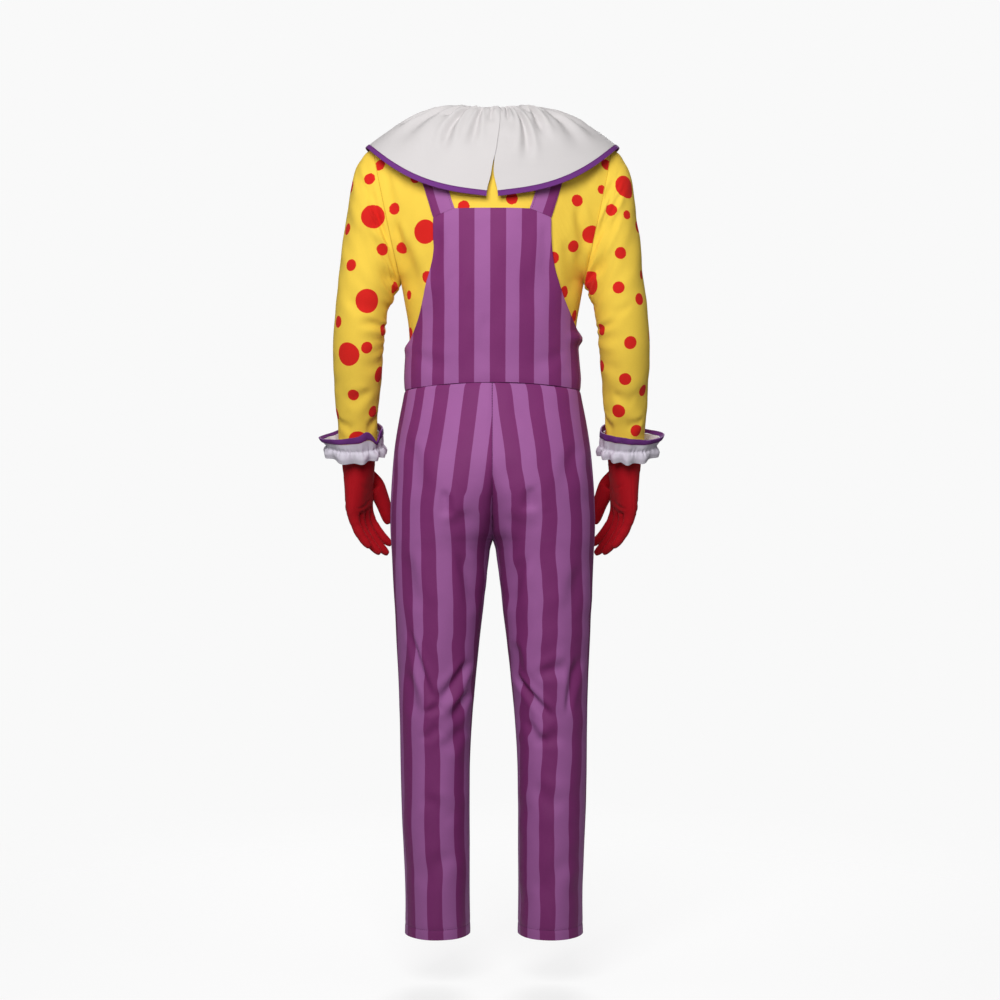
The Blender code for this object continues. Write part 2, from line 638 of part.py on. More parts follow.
def leg_folds(u, v, face):
    """Depth of the folds on one face of a leg."""
    rows = [row for row in LEG_FOLDS.rows if row[-1] == face]
    table = Table(" ".join(LEG_FOLDS.names), *rows)
    return folds_at(table, u, v, 0.20, 1.0, ("start", "start_drop", "end", "end_drop"))


def make_legs():
    around = steps((0, 1, 9))
    down = (WAIST + SEAM, 0.535, 0.575, 0.615, 0.655, 0.695, 0.735, 0.765, CROTCH, 0.797,
            0.825, 0.885, 0.960, 1.030, 1.085, 1.135, 1.190, 1.260, 1.360, HEM)
    for face_name, face in FACES.items():
        for side_name, side in SIDES.items():
            wall(f"leg_{face_name}_{side_name}", leg_surface(side, face), around, down,
                 PURPLE, side * face)


def bib_on_shirt(face, u, v):
    """The shirt's u, v under a point of the bib: u from the right edge, -1, to the left, 1;
    v is the drop at the centre."""
    table = BIB_BACK if face > 0 else BIB_FRONT
    side = TORSO.at("side", v)
    sag = np.where(u > 0, BIB_SAG[1], BIB_SAG[-1]) * soft((v - 0.28) / 0.12)
    half = np.minimum(table.at("half", v - sag), side)
    across = half * np.sin(u * math.pi / 2)
    slant = BIB_SLANT * np.clip(np.abs(across) - STRAP_INNER, 0, None)
    level = np.clip((ARMHOLE_DROP - v) / (ARMHOLE_DROP - BIB_TOP[face]), 0, 1)
    drop = v + slant * level
    found_u, found_v = find_on_shirt(face, across, drop)
    below = v > ARMHOLE_DROP + 0.03
    found_u = np.where(below, np.arcsin(np.clip(across / side, -1, 1)) * 2 / math.pi, found_u)
    found_v = np.where(below, (drop - SHIRT_HEM) / (ARMHOLE_DROP - SHIRT_HEM), found_v)
    return found_u, found_v


def lay_on_shirt(name, face, u, v, colour):
    """A wall that lies on the shirt at these u, v of it."""
    shirt = shirt_surface(face)
    square = across_surface(shirt, u, np.clip(v, 0.01, 1.985)) * -face
    bottom = shirt(u, v) + square * LAYER
    bottom = bottom + corner_flare(bottom)
    return close_grid(name, bottom + square * CLOTH, bottom, colour)


def corner_flare(points_on_bib):
    """How far each point of a bib stands out sideways beside the top of its side seam."""
    x, drop = points_on_bib[..., 0], -points_on_bib[..., 2]
    corner = np.where(x > 0, CORNER_DROP[1], CORNER_DROP[-1])
    out = np.exp(-((drop - corner) / 0.009) ** 2)
    out = out * soft((np.abs(x) - 0.125) / 0.025)
    reach = np.where(x > 0, CORNER_FLARE[1], -CORNER_FLARE[-1])
    return points(out * reach, 0, 0)


def make_bibs():
    across = steps((-1, 1, BODY_COLUMNS))
    for name, face in FACES.items():
        down = np.concatenate([steps((BIB_TOP[face], ARMHOLE_DROP, 3)),
                               sorted(BODY_ROWS[1:] + BIB_CORNER_ROWS), (WAIST - SEAM,)])
        u, v = np.meshgrid(across, down)
        found_u, found_v = bib_on_shirt(face, u, v)
        lay_on_shirt(f"bib_{name}", face, found_u, found_v, PURPLE)


def strap_half(side, face, rows):
    """Points and unit normals of the shirt under one half of a strap, bib to shoulder:
    its inner edge, middle and outer edge."""
    shirt = shirt_surface(face)
    share = np.arange(rows + 1) / rows
    columns, squares = [], []
    for reach in (0.0, 0.5, 1.0):
        foot = STRAP_INNER + STRAP * reach * math.cos(math.atan(BIB_SLANT))
        foot_drop = BIB_TOP[face] + BIB_SLANT * (foot - STRAP_INNER) - 2 * SEAM
        foot_u, foot_v = find_on_shirt(face, np.array(side * foot), np.array(foot_drop))
        top = STRAP_SHOULDER + STRAP * (reach - 0.5)
        run = (top - NECK_HALF) / (SHOULDER - NECK_HALF)
        top_u = side * (NECK_SHARE + (1 - NECK_SHARE) * run)
        u = foot_u + (top_u - foot_u) * share + side * STRAP_BOW * 4 * share * (1 - share)
        v = foot_v + (2 - foot_v) * share
        columns.append(shirt(u, v))
        squares.append(across_surface(shirt, u, np.clip(v, 0.01, 1.985)) * -face)
    return np.stack(columns, 1), np.stack(squares, 1)


def make_straps():
    """Each strap runs over the shoulder from bib to bib, on the shirt."""
    rows = 8
    for name, side in SIDES.items():
        back, back_square = strap_half(side, 1, rows)
        front, front_square = strap_half(side, -1, rows)
        top = (back[-1] + front[-1]) / 2
        top_square = unit(back_square[-1] + front_square[-1])
        grid = np.concatenate([back[:-1], top[None], front[-2::-1]])
        square = np.concatenate([back_square[:-1], top_square[None], front_square[-2::-1]])
        bottom = grid + square * LAYER
        close_grid(f"strap_{name}", bottom + square * CLOTH, bottom, PURPLE)


# ---------------------------------------------------------------- gloves
class Glove:
    """The outer face of one glove, in the hand's own sizes: down the hand, across it
    towards the thumb's side, and towards the palm."""

    def __init__(self):
        self.points = []
        self.faces = []

    def add_ring(self, ring):
        """Stores a ring of points and returns their numbers."""
        start = len(self.points)
        self.points += [tuple(point) for point in ring]
        return list(range(start, len(self.points)))

    def join(self, upper, lower):
        """Quads between two rings of equal length."""
        count = len(upper)
        for i in range(count):
            j = (i + 1) % count
            self.faces.append((upper[i], upper[j], lower[j], lower[i]))

    def cap(self, ring):
        """Closes a ring of eight."""
        a, b, c, d, e, f, g, h = ring
        self.faces += [(a, b, c, d), (a, d, e, h), (e, f, g, h)]


def palm_ring(size, share):
    """Twenty points round the hand: the back from the little finger's side (9), the
    thumb's side, the palm (9) and the little finger's side. share flattens the ring."""
    down, half, thick = size
    back = []
    for j in range(9):
        turn = math.radians(18 * (j - 4))
        even = 0.95 * (j - 4) / 4
        across = math.sin(turn) * (1 - share) + even * share
        height = math.cos(turn) * (1 - share) + math.sqrt(1 - even ** 4) * share
        back.append((down, half * across, -thick * height))
    palm = [(down, across, -height) for _, across, height in reversed(back)]
    return back + [(down, half, 0.0)] + palm + [(down, -half, 0.0)]


def finger_rings(row):
    """Rings of eight down one finger, each turned further towards the palm."""
    place, width, length, knuckle, bend = row
    across = (place - 1.5) * FINGER_PITCH
    down, palmar, before = knuckle, 0.0, 0.0
    rings = []
    for share, taper, curl in zip(FINGER_ROWS, FINGER_TAPER, FINGER_CURL):
        angle = math.radians(curl * bend)
        down += (share - before) * length * math.cos(angle)
        palmar += (share - before) * length * math.sin(angle)
        before = share
        ring = []
        for corner in (135, 90, 45, 0, -45, -90, -135, 180):
            turn = math.radians(corner)
            reach = width / 2 * taper * math.cos(turn)
            lift = -width / 2 * FINGER_DEEP * taper * math.sin(turn)
            ring.append((down - lift * math.sin(angle), across + reach,
                         palmar + lift * math.cos(angle)))
        rings.append(ring)
    return rings


def thumb_rings():
    """Rings of eight down the thumb."""
    rings = []
    for share in (0.15, 0.3, 0.6, 0.9, 1.0):
        centre = np.array([THUMB.at(name, share) for name in ("down", "across", "palmar")])
        ahead = np.array([THUMB.at(name, share - 0.02) for name in ("down", "across", "palmar")])
        axis = unit(centre - ahead)
        palm = np.array((0.0, 0.0, 1.0))
        second = unit(palm - (palm @ axis) * axis)
        first = np.cross(second, axis)
        ring = []
        for corner in (-45, 0, 45, 90, 135, 180, 225, 270):
            turn = math.radians(corner)
            ring.append(centre + THUMB.at("radius", share)
                        * (math.cos(turn) * first + math.sin(turn) * second))
        rings.append(ring)
    return rings


def glove_shape():
    """Points and faces of a glove's outer face, in the hand's own sizes."""
    glove = Glove()
    last = len(PALM.rows) - 1
    palm = [glove.add_ring(palm_ring(size, soft(row / last)))
            for row, size in enumerate(PALM.rows)]
    thumb_row, thumb_side = 2, 9
    for row in range(last):
        for i in range(20):
            j = (i + 1) % 20
            if row in (thumb_row, thumb_row + 1) and i in (thumb_side - 1, thumb_side):
                continue
            glove.faces.append((palm[row][i], palm[row][j], palm[row + 1][j],
                                palm[row + 1][i]))
    upper, middle, lower = palm[thumb_row:thumb_row + 3]
    root = [upper[8], upper[9], upper[10], middle[10], lower[10], lower[9], lower[8],
            middle[8]]
    for ring in thumb_rings():
        here = glove.add_ring(ring)
        glove.join(root, here)
        root = here
    glove.cap(root)
    edge = palm[-1]
    webs = [edge[19]]
    for place in range(3):
        top = glove.points[edge[2 * place + 2]]
        webs += glove.add_ring([(top[0] + 0.011, (place - 1) * FINGER_PITCH, 0.0)])
    webs.append(edge[9])
    for place, row in enumerate(FINGERS.rows):
        left = 2 * place
        root = [edge[left], edge[left + 1], edge[left + 2], webs[place + 1],
                edge[18 - left - 2], edge[18 - left - 1], edge[18 - left], webs[place]]
        for ring in finger_rings(row):
            here = glove.add_ring(ring)
            glove.join(root, here)
            root = here
        glove.cap(root)
    return np.array(glove.points), glove.faces


def hand_frame(side):
    """Rows of the hand's own axes in the world: down, across, towards the palm."""
    turn, lean = HAND_TURN, HAND_LEAN
    axes = np.array((
        (0.0, 0.0, -1.0),
        (-math.sin(turn), -math.cos(turn), 0.0),
        (-math.cos(turn), math.sin(turn), 0.0),
    ))
    tilt = np.array((
        (1.0, 0.0, 0.0),
        (0.0, math.cos(lean), math.sin(lean)),
        (0.0, -math.sin(lean), math.cos(lean)),
    ))
    return (axes @ tilt.T) * np.array((side, 1, 1))


def make_gloves():
    shape, faces = glove_shape()
    used = sorted({index for face in faces for index in face})
    renumber = {old: new for new, old in enumerate(used)}
    faces = [tuple(renumber[index] for index in face) for face in faces]
    for name, side in SIDES.items():
        wrist = np.array((side * (WRIST[0] + ARM_SPREAD[side]), WRIST[1], WRIST[2]))
        outer = shape[used] @ hand_frame(side) + wrist
        square = np.zeros_like(outer)
        for face in faces:
            a, b, c, d = (outer[index] for index in face)
            for index in face:
                square[index] += np.cross(c - a, d - b)
        square = unit(square) * side
        close_wall(f"glove_{name}", outer, outer - square * 0.0010, faces, RED)


# ---------------------------------------------------------------- build
def clear_scene():
    for old in list(bpy.data.objects):
        bpy.data.objects.remove(old, do_unlink=True)


clear_scene()
make_shirt()
make_sleeves()
make_frills()
make_collar()
make_legs()
make_bibs()
make_straps()
make_gloves()
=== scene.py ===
# %% [markdown]
# # A clown costume, dressed cloth by cloth
# The costume is a dotted knit shirt with a cape collar and wrist frills, striped
# dungarees over it and a pair of gloves. It keeps the shape of a wearer who isn't there.
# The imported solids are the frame: every cloth below lies on the place of one of them and
# hides it, with far more points, so that it can carry folds, seams and stitches.

# %% Load the frame
import math

import bpy
import numpy as np
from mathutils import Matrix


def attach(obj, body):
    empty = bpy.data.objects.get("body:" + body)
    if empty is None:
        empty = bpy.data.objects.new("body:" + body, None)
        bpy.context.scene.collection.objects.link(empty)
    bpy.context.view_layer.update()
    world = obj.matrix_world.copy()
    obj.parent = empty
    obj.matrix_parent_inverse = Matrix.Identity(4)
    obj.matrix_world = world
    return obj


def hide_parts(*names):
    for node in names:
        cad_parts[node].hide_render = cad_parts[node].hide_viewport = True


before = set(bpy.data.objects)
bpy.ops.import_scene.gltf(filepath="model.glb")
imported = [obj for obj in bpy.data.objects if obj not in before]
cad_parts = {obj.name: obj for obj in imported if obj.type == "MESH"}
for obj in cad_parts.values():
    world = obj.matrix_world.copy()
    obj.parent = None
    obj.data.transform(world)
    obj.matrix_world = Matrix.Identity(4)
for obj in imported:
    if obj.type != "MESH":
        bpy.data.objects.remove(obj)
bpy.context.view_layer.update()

# %% [markdown]
# ## Small tools
# A cloth is easiest to make as a function: give it two numbers, u across and v along, and
# it answers with a point. Such a function can be sampled as finely as the folds need. A
# modelling tool with a cage and a subdivision modifier would do too, but then the places
# of seams and stitches are harder to name.

# %% Vectors and soft steps
def unit(vectors):
    """Each vector at length 1."""
    return vectors / np.maximum(np.linalg.norm(vectors, axis=-1, keepdims=True), 1e-12)


def points(x, y, z):
    """Points from their coordinates, which may be arrays or single numbers."""
    return np.stack(np.broadcast_arrays(x, y, z), axis=-1).astype(float)


def soft(t):
    """0 to 1 with no slope at either end."""
    t = np.clip(t, 0, 1)
    return t * t * (3 - 2 * t)


def bell(t):
    """1 at 0, falling softly to both sides."""
    return np.exp(-t ** 2)


print("a quarter of the way, a soft step is at", round(float(soft(0.25)), 3))

# %% Tables of sizes, read along a smooth curve
class Table:
    """Rows of sizes under named columns. The first column is the key, in rising order."""

    def __init__(self, columns, *rows):
        self.names = columns.split()
        self.rows = np.array(rows, float)

    def at(self, name, key):
        """The named size at this key."""
        keys = self.rows[:, 0]
        values = self.rows[:, self.names.index(name)]
        slopes = np.gradient(values, keys)
        low = np.clip(np.searchsorted(keys, key) - 1, 0, len(keys) - 2)
        width = keys[low + 1] - keys[low]
        t = (np.clip(key, keys[0], keys[-1]) - keys[low]) / width
        start = values[low] * (1 + 2 * t) + slopes[low] * width * t
        end = values[low + 1] * (3 - 2 * t) - slopes[low + 1] * width * (1 - t)
        return start * (1 - t) ** 2 + end * t ** 2


def from_mm(*rows):
    """Rows of millimetres in metres, rounded so that each is the nearest number."""
    return np.round(np.array(rows) / 1000, 6)


# %% New objects
def place_object(name, data):
    """Puts a mesh, a lamp or a camera into the scene."""
    placed = bpy.data.objects.new(name, data)
    bpy.context.scene.collection.objects.link(placed)
    return placed


def mesh_of(name, corners, faces):
    """A mesh from points and the numbers of each face's corners."""
    mesh = bpy.data.meshes.new(name)
    mesh.from_pydata(corners.tolist(), [], faces.tolist())
    return mesh


# %% Which way a surface faces
def across_surface(surface, u, v, step=1e-4):
    """Unit vector square to the surface at u, v."""
    along_u = surface(u + step, v) - surface(u - step, v)
    along_v = surface(u, v + step) - surface(u, v - step)
    return unit(np.cross(along_u, along_v))


def grid_squares(grid, wraps):
    """Unit vectors square to a grid of points, from the points beside each."""
    if wraps:
        ring = np.concatenate([grid[:, -1:], grid, grid[:, :1]], axis=1)
        along_u = ring[:, 2:] - ring[:, :-2]
    else:
        along_u = np.gradient(grid, axis=1)
    return unit(np.cross(along_u, np.gradient(grid, axis=0)))


def arc_lengths(grid, wraps):
    """Metres across each row and metres down the cloth, for patterns in real sizes."""
    rows = np.concatenate([grid, grid[:, :1]], axis=1) if wraps else grid
    across = np.linalg.norm(np.diff(rows, axis=1), axis=-1)
    down = np.linalg.norm(np.diff(rows, axis=0), axis=-1).mean(axis=1)
    start = np.zeros((len(rows), 1))
    across = np.concatenate([start, np.cumsum(across, axis=1)], axis=1)
    down = np.concatenate([[0], np.cumsum(down)])
    return across, np.broadcast_to(down[:, None], across.shape)


# %% [markdown]
# ## Folds
# Cloth folds where it has more length than the way it lies needs. A fold is a soft trough
# with a rounded ridge on one side, and no two are alike. Each is given as a row: where it
# starts and ends, half its width, its depth, and how far its middle bows. Under them lie
# faint ripples, which keep the light on a large panel from looking ironed.

# %% Folds from rows of sizes
# The ridges beside a trough: height as a share of its depth, place in half widths.
NEAR_RIDGE, FAR_RIDGE = (0.42, 1.7), (0.22, -1.8)
RIDGE_WIDTH = 0.9
FADE = 0.35             # share of a fold's length over which it fades at either end


def fold_depth(rows, x, y, around=None):
    """Metres that the cloth sinks at x, y. A row is start x, start y, end x, end y, half
    width, depth and bow. around is the length at which x comes round to 0 again."""
    total = np.zeros(np.broadcast(x, y).shape)
    for start_x, start_y, end_x, end_y, width, depth, bow in rows:
        run_x, run_y = end_x - start_x, end_y - start_y
        length = math.hypot(run_x, run_y)
        from_x, from_y = x - start_x, y - start_y
        if around:
            middle = (start_x + end_x) / 2
            from_x = np.mod(x - middle + around / 2, around) - around / 2 + run_x / 2
        along = (from_x * run_x + from_y * run_y) / length ** 2
        aside = (from_y * run_x - from_x * run_y) / length - 4 * bow * along * (1 - along)
        aside = aside / (width * (0.75 + 0.5 * soft(along)))
        shape = bell(aside)
        for height, place in (NEAR_RIDGE, FAR_RIDGE):
            shape = shape - height * bell((aside - place) / RIDGE_WIDTH)
        fade = soft(along / FADE + 0.25) * soft((1 - along) / FADE + 0.25)
        total = total + depth * shape * fade
    return total


# %% Faint ripples between the folds
RIPPLE_WAVES = 9


def ripples(x, y, size, depth, seed):
    """Faint unevenness of a cloth: waves of about this size, crossing at random angles."""
    chance = np.random.default_rng(seed)
    total = 0.0
    for _ in range(RIPPLE_WAVES):
        angle, start = chance.uniform(0, 2 * math.pi, 2)
        turns = 2 * math.pi / (size * chance.uniform(0.6, 1.7))
        bend = 0.6 * np.sin(2.1 * (x * math.sin(angle) - y * math.cos(angle)) / size + start)
        ahead = x * math.cos(angle) + y * math.sin(angle)
        total = total + np.sin(turns * ahead + start + bend)
    return depth * total / math.sqrt(RIPPLE_WAVES)


# %% [markdown]
# ## From a grid to a piece of cloth
# Each piece is a closed wall: an outer face, an inner face at the cloth's thickness, and
# narrow rims that join them. A Solidify modifier would do the same, but a wall made here
# keeps the folds of both faces apart and gives stitches a surface to sit on. Every corner
# also gets its place on the flat cloth in metres, so that stripes and weave keep their
# real size. That is what a UV map is for.

# %% Thicknesses and gaps
CLOTH = 0.0013          # wall of knit or woven cloth
TAPE = 0.0026           # wall of folded binding tape
LAYER = 0.0018          # between cloths that lie on each other
SEAM = 0.0003           # between two pieces at a seam
SHARP = math.radians(62)    # faces that meet at more than this keep a crisp edge
made = {}
print("cloth is", 1000 * CLOTH, "mm thick and folded tape", 1000 * TAPE, "mm")


# %% Close the wall between two faces
def close_wall(name, outer, inner, faces, flat, material, spots=None):
    """An object from the points of both faces, the quads of one, and each quad corner's
    place on the flat cloth. spots holds one number a point for a printed pattern."""
    count = len(outer)
    ends = np.roll(faces, -1, axis=1)
    forward, backward = faces * count + ends, ends * count + faces
    rim = ~np.isin(forward, backward)
    start, end = faces[rim], ends[rim]
    flat_start, flat_end = flat[rim], np.roll(flat, -1, axis=1)[rim]
    rims = np.stack([end, start, start + count, end + count], axis=1)
    quads = np.concatenate([faces, faces[:, ::-1] + count, rims])
    corners = np.concatenate([flat, flat[:, ::-1],
                              np.stack([flat_end, flat_start, flat_start, flat_end], 1)])
    every = np.concatenate([outer, inner])
    a, b, c, d = (every[quads[:, i]] for i in range(4))
    if (np.cross(b - a, c - a) * a).sum() + (np.cross(c - a, d - a) * a).sum() < 0:
        quads, corners = quads[:, ::-1], corners[:, ::-1]
    mesh = mesh_of(name, every, quads)
    mesh.uv_layers.new(name="cloth").data.foreach_set("uv", corners.reshape(-1))
    if spots is not None:
        layer = mesh.attributes.new("spot_edge", "FLOAT", "POINT")
        layer.data.foreach_set("value", np.concatenate([spots, spots]))
    mesh.materials.append(material)
    mesh.shade_smooth()
    mesh.set_sharp_from_angle(angle=SHARP)
    piece = place_object(name, mesh)
    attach(piece, "root")
    made[name] = piece
    print(name, "has", 2 * len(quads), "triangles")
    return piece


# %% Lay a grid as a wall
def grid_quads(rows, columns, wraps):
    """The quads of a grid and, for their flat places, the same on an unrolled grid."""
    wide = columns if wraps else columns - 1
    row, column = np.meshgrid(np.arange(rows - 1), np.arange(wide), indexing="ij")
    row, column = row.reshape(-1), column.reshape(-1)
    right = (column + 1) % columns

    def corners(next_column, width):
        return np.stack([row * width + column, row * width + next_column,
                         (row + 1) * width + next_column, (row + 1) * width + column], 1)

    return corners(right, columns), corners(column + 1, wide + 1)


def lay(name, outer, inward, material, thickness=CLOTH, wraps=False, across_from=0.0,
        along=1, spots=None):
    """A piece from the grid of its outer face. inward, 1 or -1, is the side of the hollow.
    across_from is where each row's flat measure counts from, and along, 1 or -1, the way
    it counts. Returns what stitches need: the outer grid and the directions out of it."""
    out = grid_squares(outer, wraps) * -inward
    quads, unrolled = grid_quads(*outer.shape[:2], wraps)
    across, down = arc_lengths(outer, wraps)
    flat = np.stack([(across - across_from) * along, down], axis=-1).reshape(-1, 2)[unrolled]
    inner = outer - out * thickness
    close_wall(name, outer.reshape(-1, 3), inner.reshape(-1, 3), quads, flat, material,
               None if spots is None else spots.reshape(-1))
    return outer, out


# %% [markdown]
# ## Seams and stitches
# At a seam the cloth rolls down to the line where it is sewn. Topstitching lies on the
# cloth, about 4 mm to a stitch. Overlocking fills a seam from below with thick stitches
# that touch. Each stitch is a short bar of eight corners along a path of points. The bars
# are only noted here, and the last step of the sewing makes objects of them.

# %% Seams and stitches
def beside_seam(distance, depth=0.0011, width=0.0035):
    """A panel rolls down into its seam: metres that it sinks at a distance from it."""
    return depth * bell(distance / width)


threads = {}
IN_SEAM = {"pitch": 0.003, "length": 0.0036, "thread": 0.0024}
SUNK, PROUD, TOP_SHARE = 0.0002, 0.55, 0.6  # metres, and shares of the thread's thickness


def stitch(colour, path, out, pitch=0.0042, length=0.0029, thread=0.0008):
    """Sews a row of stitches along a path of points on a cloth, in thread of this colour."""
    steps = np.linalg.norm(np.diff(path, axis=0), axis=1)
    reach = np.concatenate([[0], np.cumsum(steps)])
    middles = np.arange(pitch, reach[-1] - pitch / 2, pitch)

    def at(values, where):
        return np.stack([np.interp(where, reach, values[:, i]) for i in range(3)], axis=1)

    start, end = at(path, middles - length / 2), at(path, middles + length / 2)
    lift = unit(at(out, middles))
    ahead = unit(end - start)
    aside = np.cross(ahead, lift) * thread / 2
    low, high, slope = lift * -SUNK, lift * thread * PROUD, ahead * thread / 2
    narrow = aside * TOP_SHARE
    ring = [start + aside + low, start - aside + low, end - aside + low, end + aside + low,
            start + narrow + high + slope, start - narrow + high + slope,
            end - narrow + high - slope, end + narrow + high - slope]
    threads.setdefault(colour, []).append(np.stack(ring, axis=1))


# %% [markdown]
# ## Colours
# Colours are noted the way a screen shows them, as sRGB hex values. The renderer counts in
# linear light, so one function turns them.

# %% Screen colour to linear light
def colour(code):
    """Linear red, green, blue and alpha of an sRGB hex value such as #C0FFEE."""
    values = np.array([int(code[i:i + 2], 16) for i in (1, 3, 5)]) / 255
    linear = np.where(values <= 0.04045, values / 12.92, ((values + 0.055) / 1.055) ** 2.4)
    return (*linear.tolist(), 1.0)


# %% One function for every node
def add(material, kind, settings=None, inputs=None):
    """Adds a node of this kind to a material. inputs maps a socket's name or number to a
    value or to another node's output."""
    tree = material.node_tree
    node = tree.nodes.new("ShaderNode" + kind)
    for name, value in (settings or {}).items():
        setattr(node, name, value)
    for name, value in (inputs or {}).items():
        if isinstance(value, bpy.types.NodeSocket):
            tree.links.new(value, node.inputs[name])
        else:
            node.inputs[name].default_value = value
    return node


# %% [markdown]
# ## What all the cloths share
# Textile fibre has an IOR near 1.5. Its gloss is broken up by the threads, so cloth is
# rough and its mirror light weak, and fine fibre ends give it a pale sheen at the edges.
# Threads are 0.2 to 0.5 mm apart, too fine to show, so they are drawn coarser, 1 to 3 mm
# apart, as a height that the light catches. Dye takes a little unevenly.

# %% A cloth's shader
FIBRE_IOR, FIBRE_GLOSS = 1.5, 0.16


def new_cloth(name, roughness, sheen, sheen_roughness):
    """A cloth's material and its shader."""
    material = bpy.data.materials.new(name)
    material.use_nodes = True
    shader = material.node_tree.nodes["Principled BSDF"]
    for socket, value in (("IOR", FIBRE_IOR), ("Metallic", 0.0),
                          ("Specular IOR Level", FIBRE_GLOSS), ("Roughness", roughness),
                          ("Sheen Weight", sheen), ("Sheen Roughness", sheen_roughness)):
        shader.inputs[socket].default_value = value
    return material, shader


# %% Threads as a height on the cloth
LOOP_SLANT = 1.3        # how far a knit's rows rise and fall from loop to loop, radians


def thread_height(material, across_mm, along_mm, knit):
    """Height of the threads from the flat places, at these millimetres from one to the
    next: crossing threads for a weave, rows of small loops for a knit."""
    flat = add(material, "UVMap", {"uv_map": "cloth"})
    parts = add(material, "SeparateXYZ", None, {0: flat.outputs["UV"]})
    across = add(material, "Math", {"operation": "MULTIPLY"},
                 {0: parts.outputs["X"], 1: 2 * math.pi * 1000 / across_mm})
    along = add(material, "Math", {"operation": "MULTIPLY"},
                {0: parts.outputs["Y"], 1: 2 * math.pi * 1000 / along_mm})
    wales = add(material, "Math", {"operation": "SINE"}, {0: across.outputs[0]})
    if knit:
        along = add(material, "Math", {"operation": "MULTIPLY_ADD"},
                    {0: wales.outputs[0], 1: LOOP_SLANT, 2: along.outputs[0]})
    courses = add(material, "Math", {"operation": "SINE"}, {0: along.outputs[0]})
    height = add(material, "Math", {"operation": "ADD" if knit else "MULTIPLY"},
                 {0: wales.outputs[0], 1: courses.outputs[0]})
    return flat, parts, height


# %% Colour and threads come together
PATCHES, FIBRES = 22.0, 620.0   # noise cells to a metre: 45 mm and 1.6 mm
BUMP_STRENGTH = 0.55


def finish_cloth(material, shader, paint, height, flat, bump_mm, uneven):
    """Joins colour and bump to the shader. uneven is how much the dye's strength varies,
    over patches of some centimetres and over single threads."""
    patches = add(material, "TexNoise", None,
                  {"Vector": flat.outputs["UV"], "Scale": PATCHES, "Detail": 3.0})
    fibres = add(material, "TexNoise", None,
                 {"Vector": flat.outputs["UV"], "Scale": FIBRES, "Detail": 2.0})
    mixed = add(material, "Math", {"operation": "ADD"},
                {0: patches.outputs["Fac"], 1: fibres.outputs["Fac"]})
    shade = add(material, "MapRange", None,
                {"Value": mixed.outputs[0], "From Min": 0.5, "From Max": 1.5,
                 "To Min": 1 - uneven, "To Max": 1 + uneven})
    tinted = add(material, "VectorMath", {"operation": "SCALE"},
                 {0: paint, "Scale": shade.outputs["Result"]})
    bump = add(material, "Bump", None, {"Strength": BUMP_STRENGTH, "Distance": bump_mm / 1000,
                                        "Height": height.outputs[0]})
    links = material.node_tree.links
    links.new(tinted.outputs["Vector"], shader.inputs["Base Color"])
    links.new(bump.outputs["Normal"], shader.inputs["Normal"])


print("dye patches are", round(1000 / PATCHES), "mm across")

# %% [markdown]
# ## The printed jersey of the shirt
# The shirt is polyester jersey, a light stretchy knit, printed with red spots in three
# sizes. Jersey is matt with a soft bloom, and its loops run in fine upright rows. The
# spots could be painted as an image, but an image has its own resolution. Here each point
# of the cloth knows how far it is from the nearest spot's edge, and the material draws the
# edge exactly where that distance is nothing.

# %% Printed jersey
BLEED, BLEED_CELLS = 0.0005, 420.0  # the ink wanders by 0.5 mm, from loop to loop
PRINT_EDGE = 0.0003                 # half the width over which the ink runs out


def make_jersey(name, ground, print_colour):
    """Knit printed with spots, or plain without a print colour."""
    material, shader = new_cloth(name, roughness=0.80, sheen=0.03, sheen_roughness=0.45)
    flat, _, height = thread_height(material, across_mm=2.6, along_mm=2.2, knit=True)
    paint = add(material, "RGB")
    paint.outputs[0].default_value = colour(ground)
    paint = paint.outputs[0]
    if print_colour:
        edge = add(material, "Attribute", {"attribute_name": "spot_edge"})
        bleed = add(material, "TexNoise", None,
                    {"Vector": flat.outputs["UV"], "Scale": BLEED_CELLS, "Detail": 2.0})
        uneven = add(material, "MapRange", None,
                     {"Value": bleed.outputs["Fac"], "To Min": -BLEED, "To Max": BLEED})
        edge = add(material, "Math", {"operation": "ADD"},
                   {0: edge.outputs["Fac"], 1: uneven.outputs["Result"]})
        inside = add(material, "MapRange", None,
                     {"Value": edge.outputs[0], "From Min": PRINT_EDGE,
                      "From Max": -PRINT_EDGE})
        printed = add(material, "Mix", {"data_type": "RGBA"},
                      {0: inside.outputs["Result"], 6: paint, 7: colour(print_colour)})
        paint = printed.outputs[2]
    finish_cloth(material, shader, paint, height, flat, bump_mm=0.14, uneven=0.05)
    return material


jersey = make_jersey("spotted_polyester_jersey", "#F6D04C", "#DA211B")
glove_knit = make_jersey("red_nylon_stretch_knit", "#AE0A19", None)
print("knits:", jersey.name, "and", glove_knit.name)

# %% [markdown]
# ## The striped cloth of the dungarees
# The dungarees are yarn-dyed polyester twill in two purples, in even stripes 27.5 mm wide.
# A twill is smooth and slightly lustrous, so its roughness is lower than the jersey's. The
# stripes come from the flat places, so they bend with the cloth as woven stripes do.

# %% Striped twill
STRIPE = 0.0275         # width of one stripe
STRIPE_EDGE = 0.006     # half the width over which two stripes meet, as a share of a pair


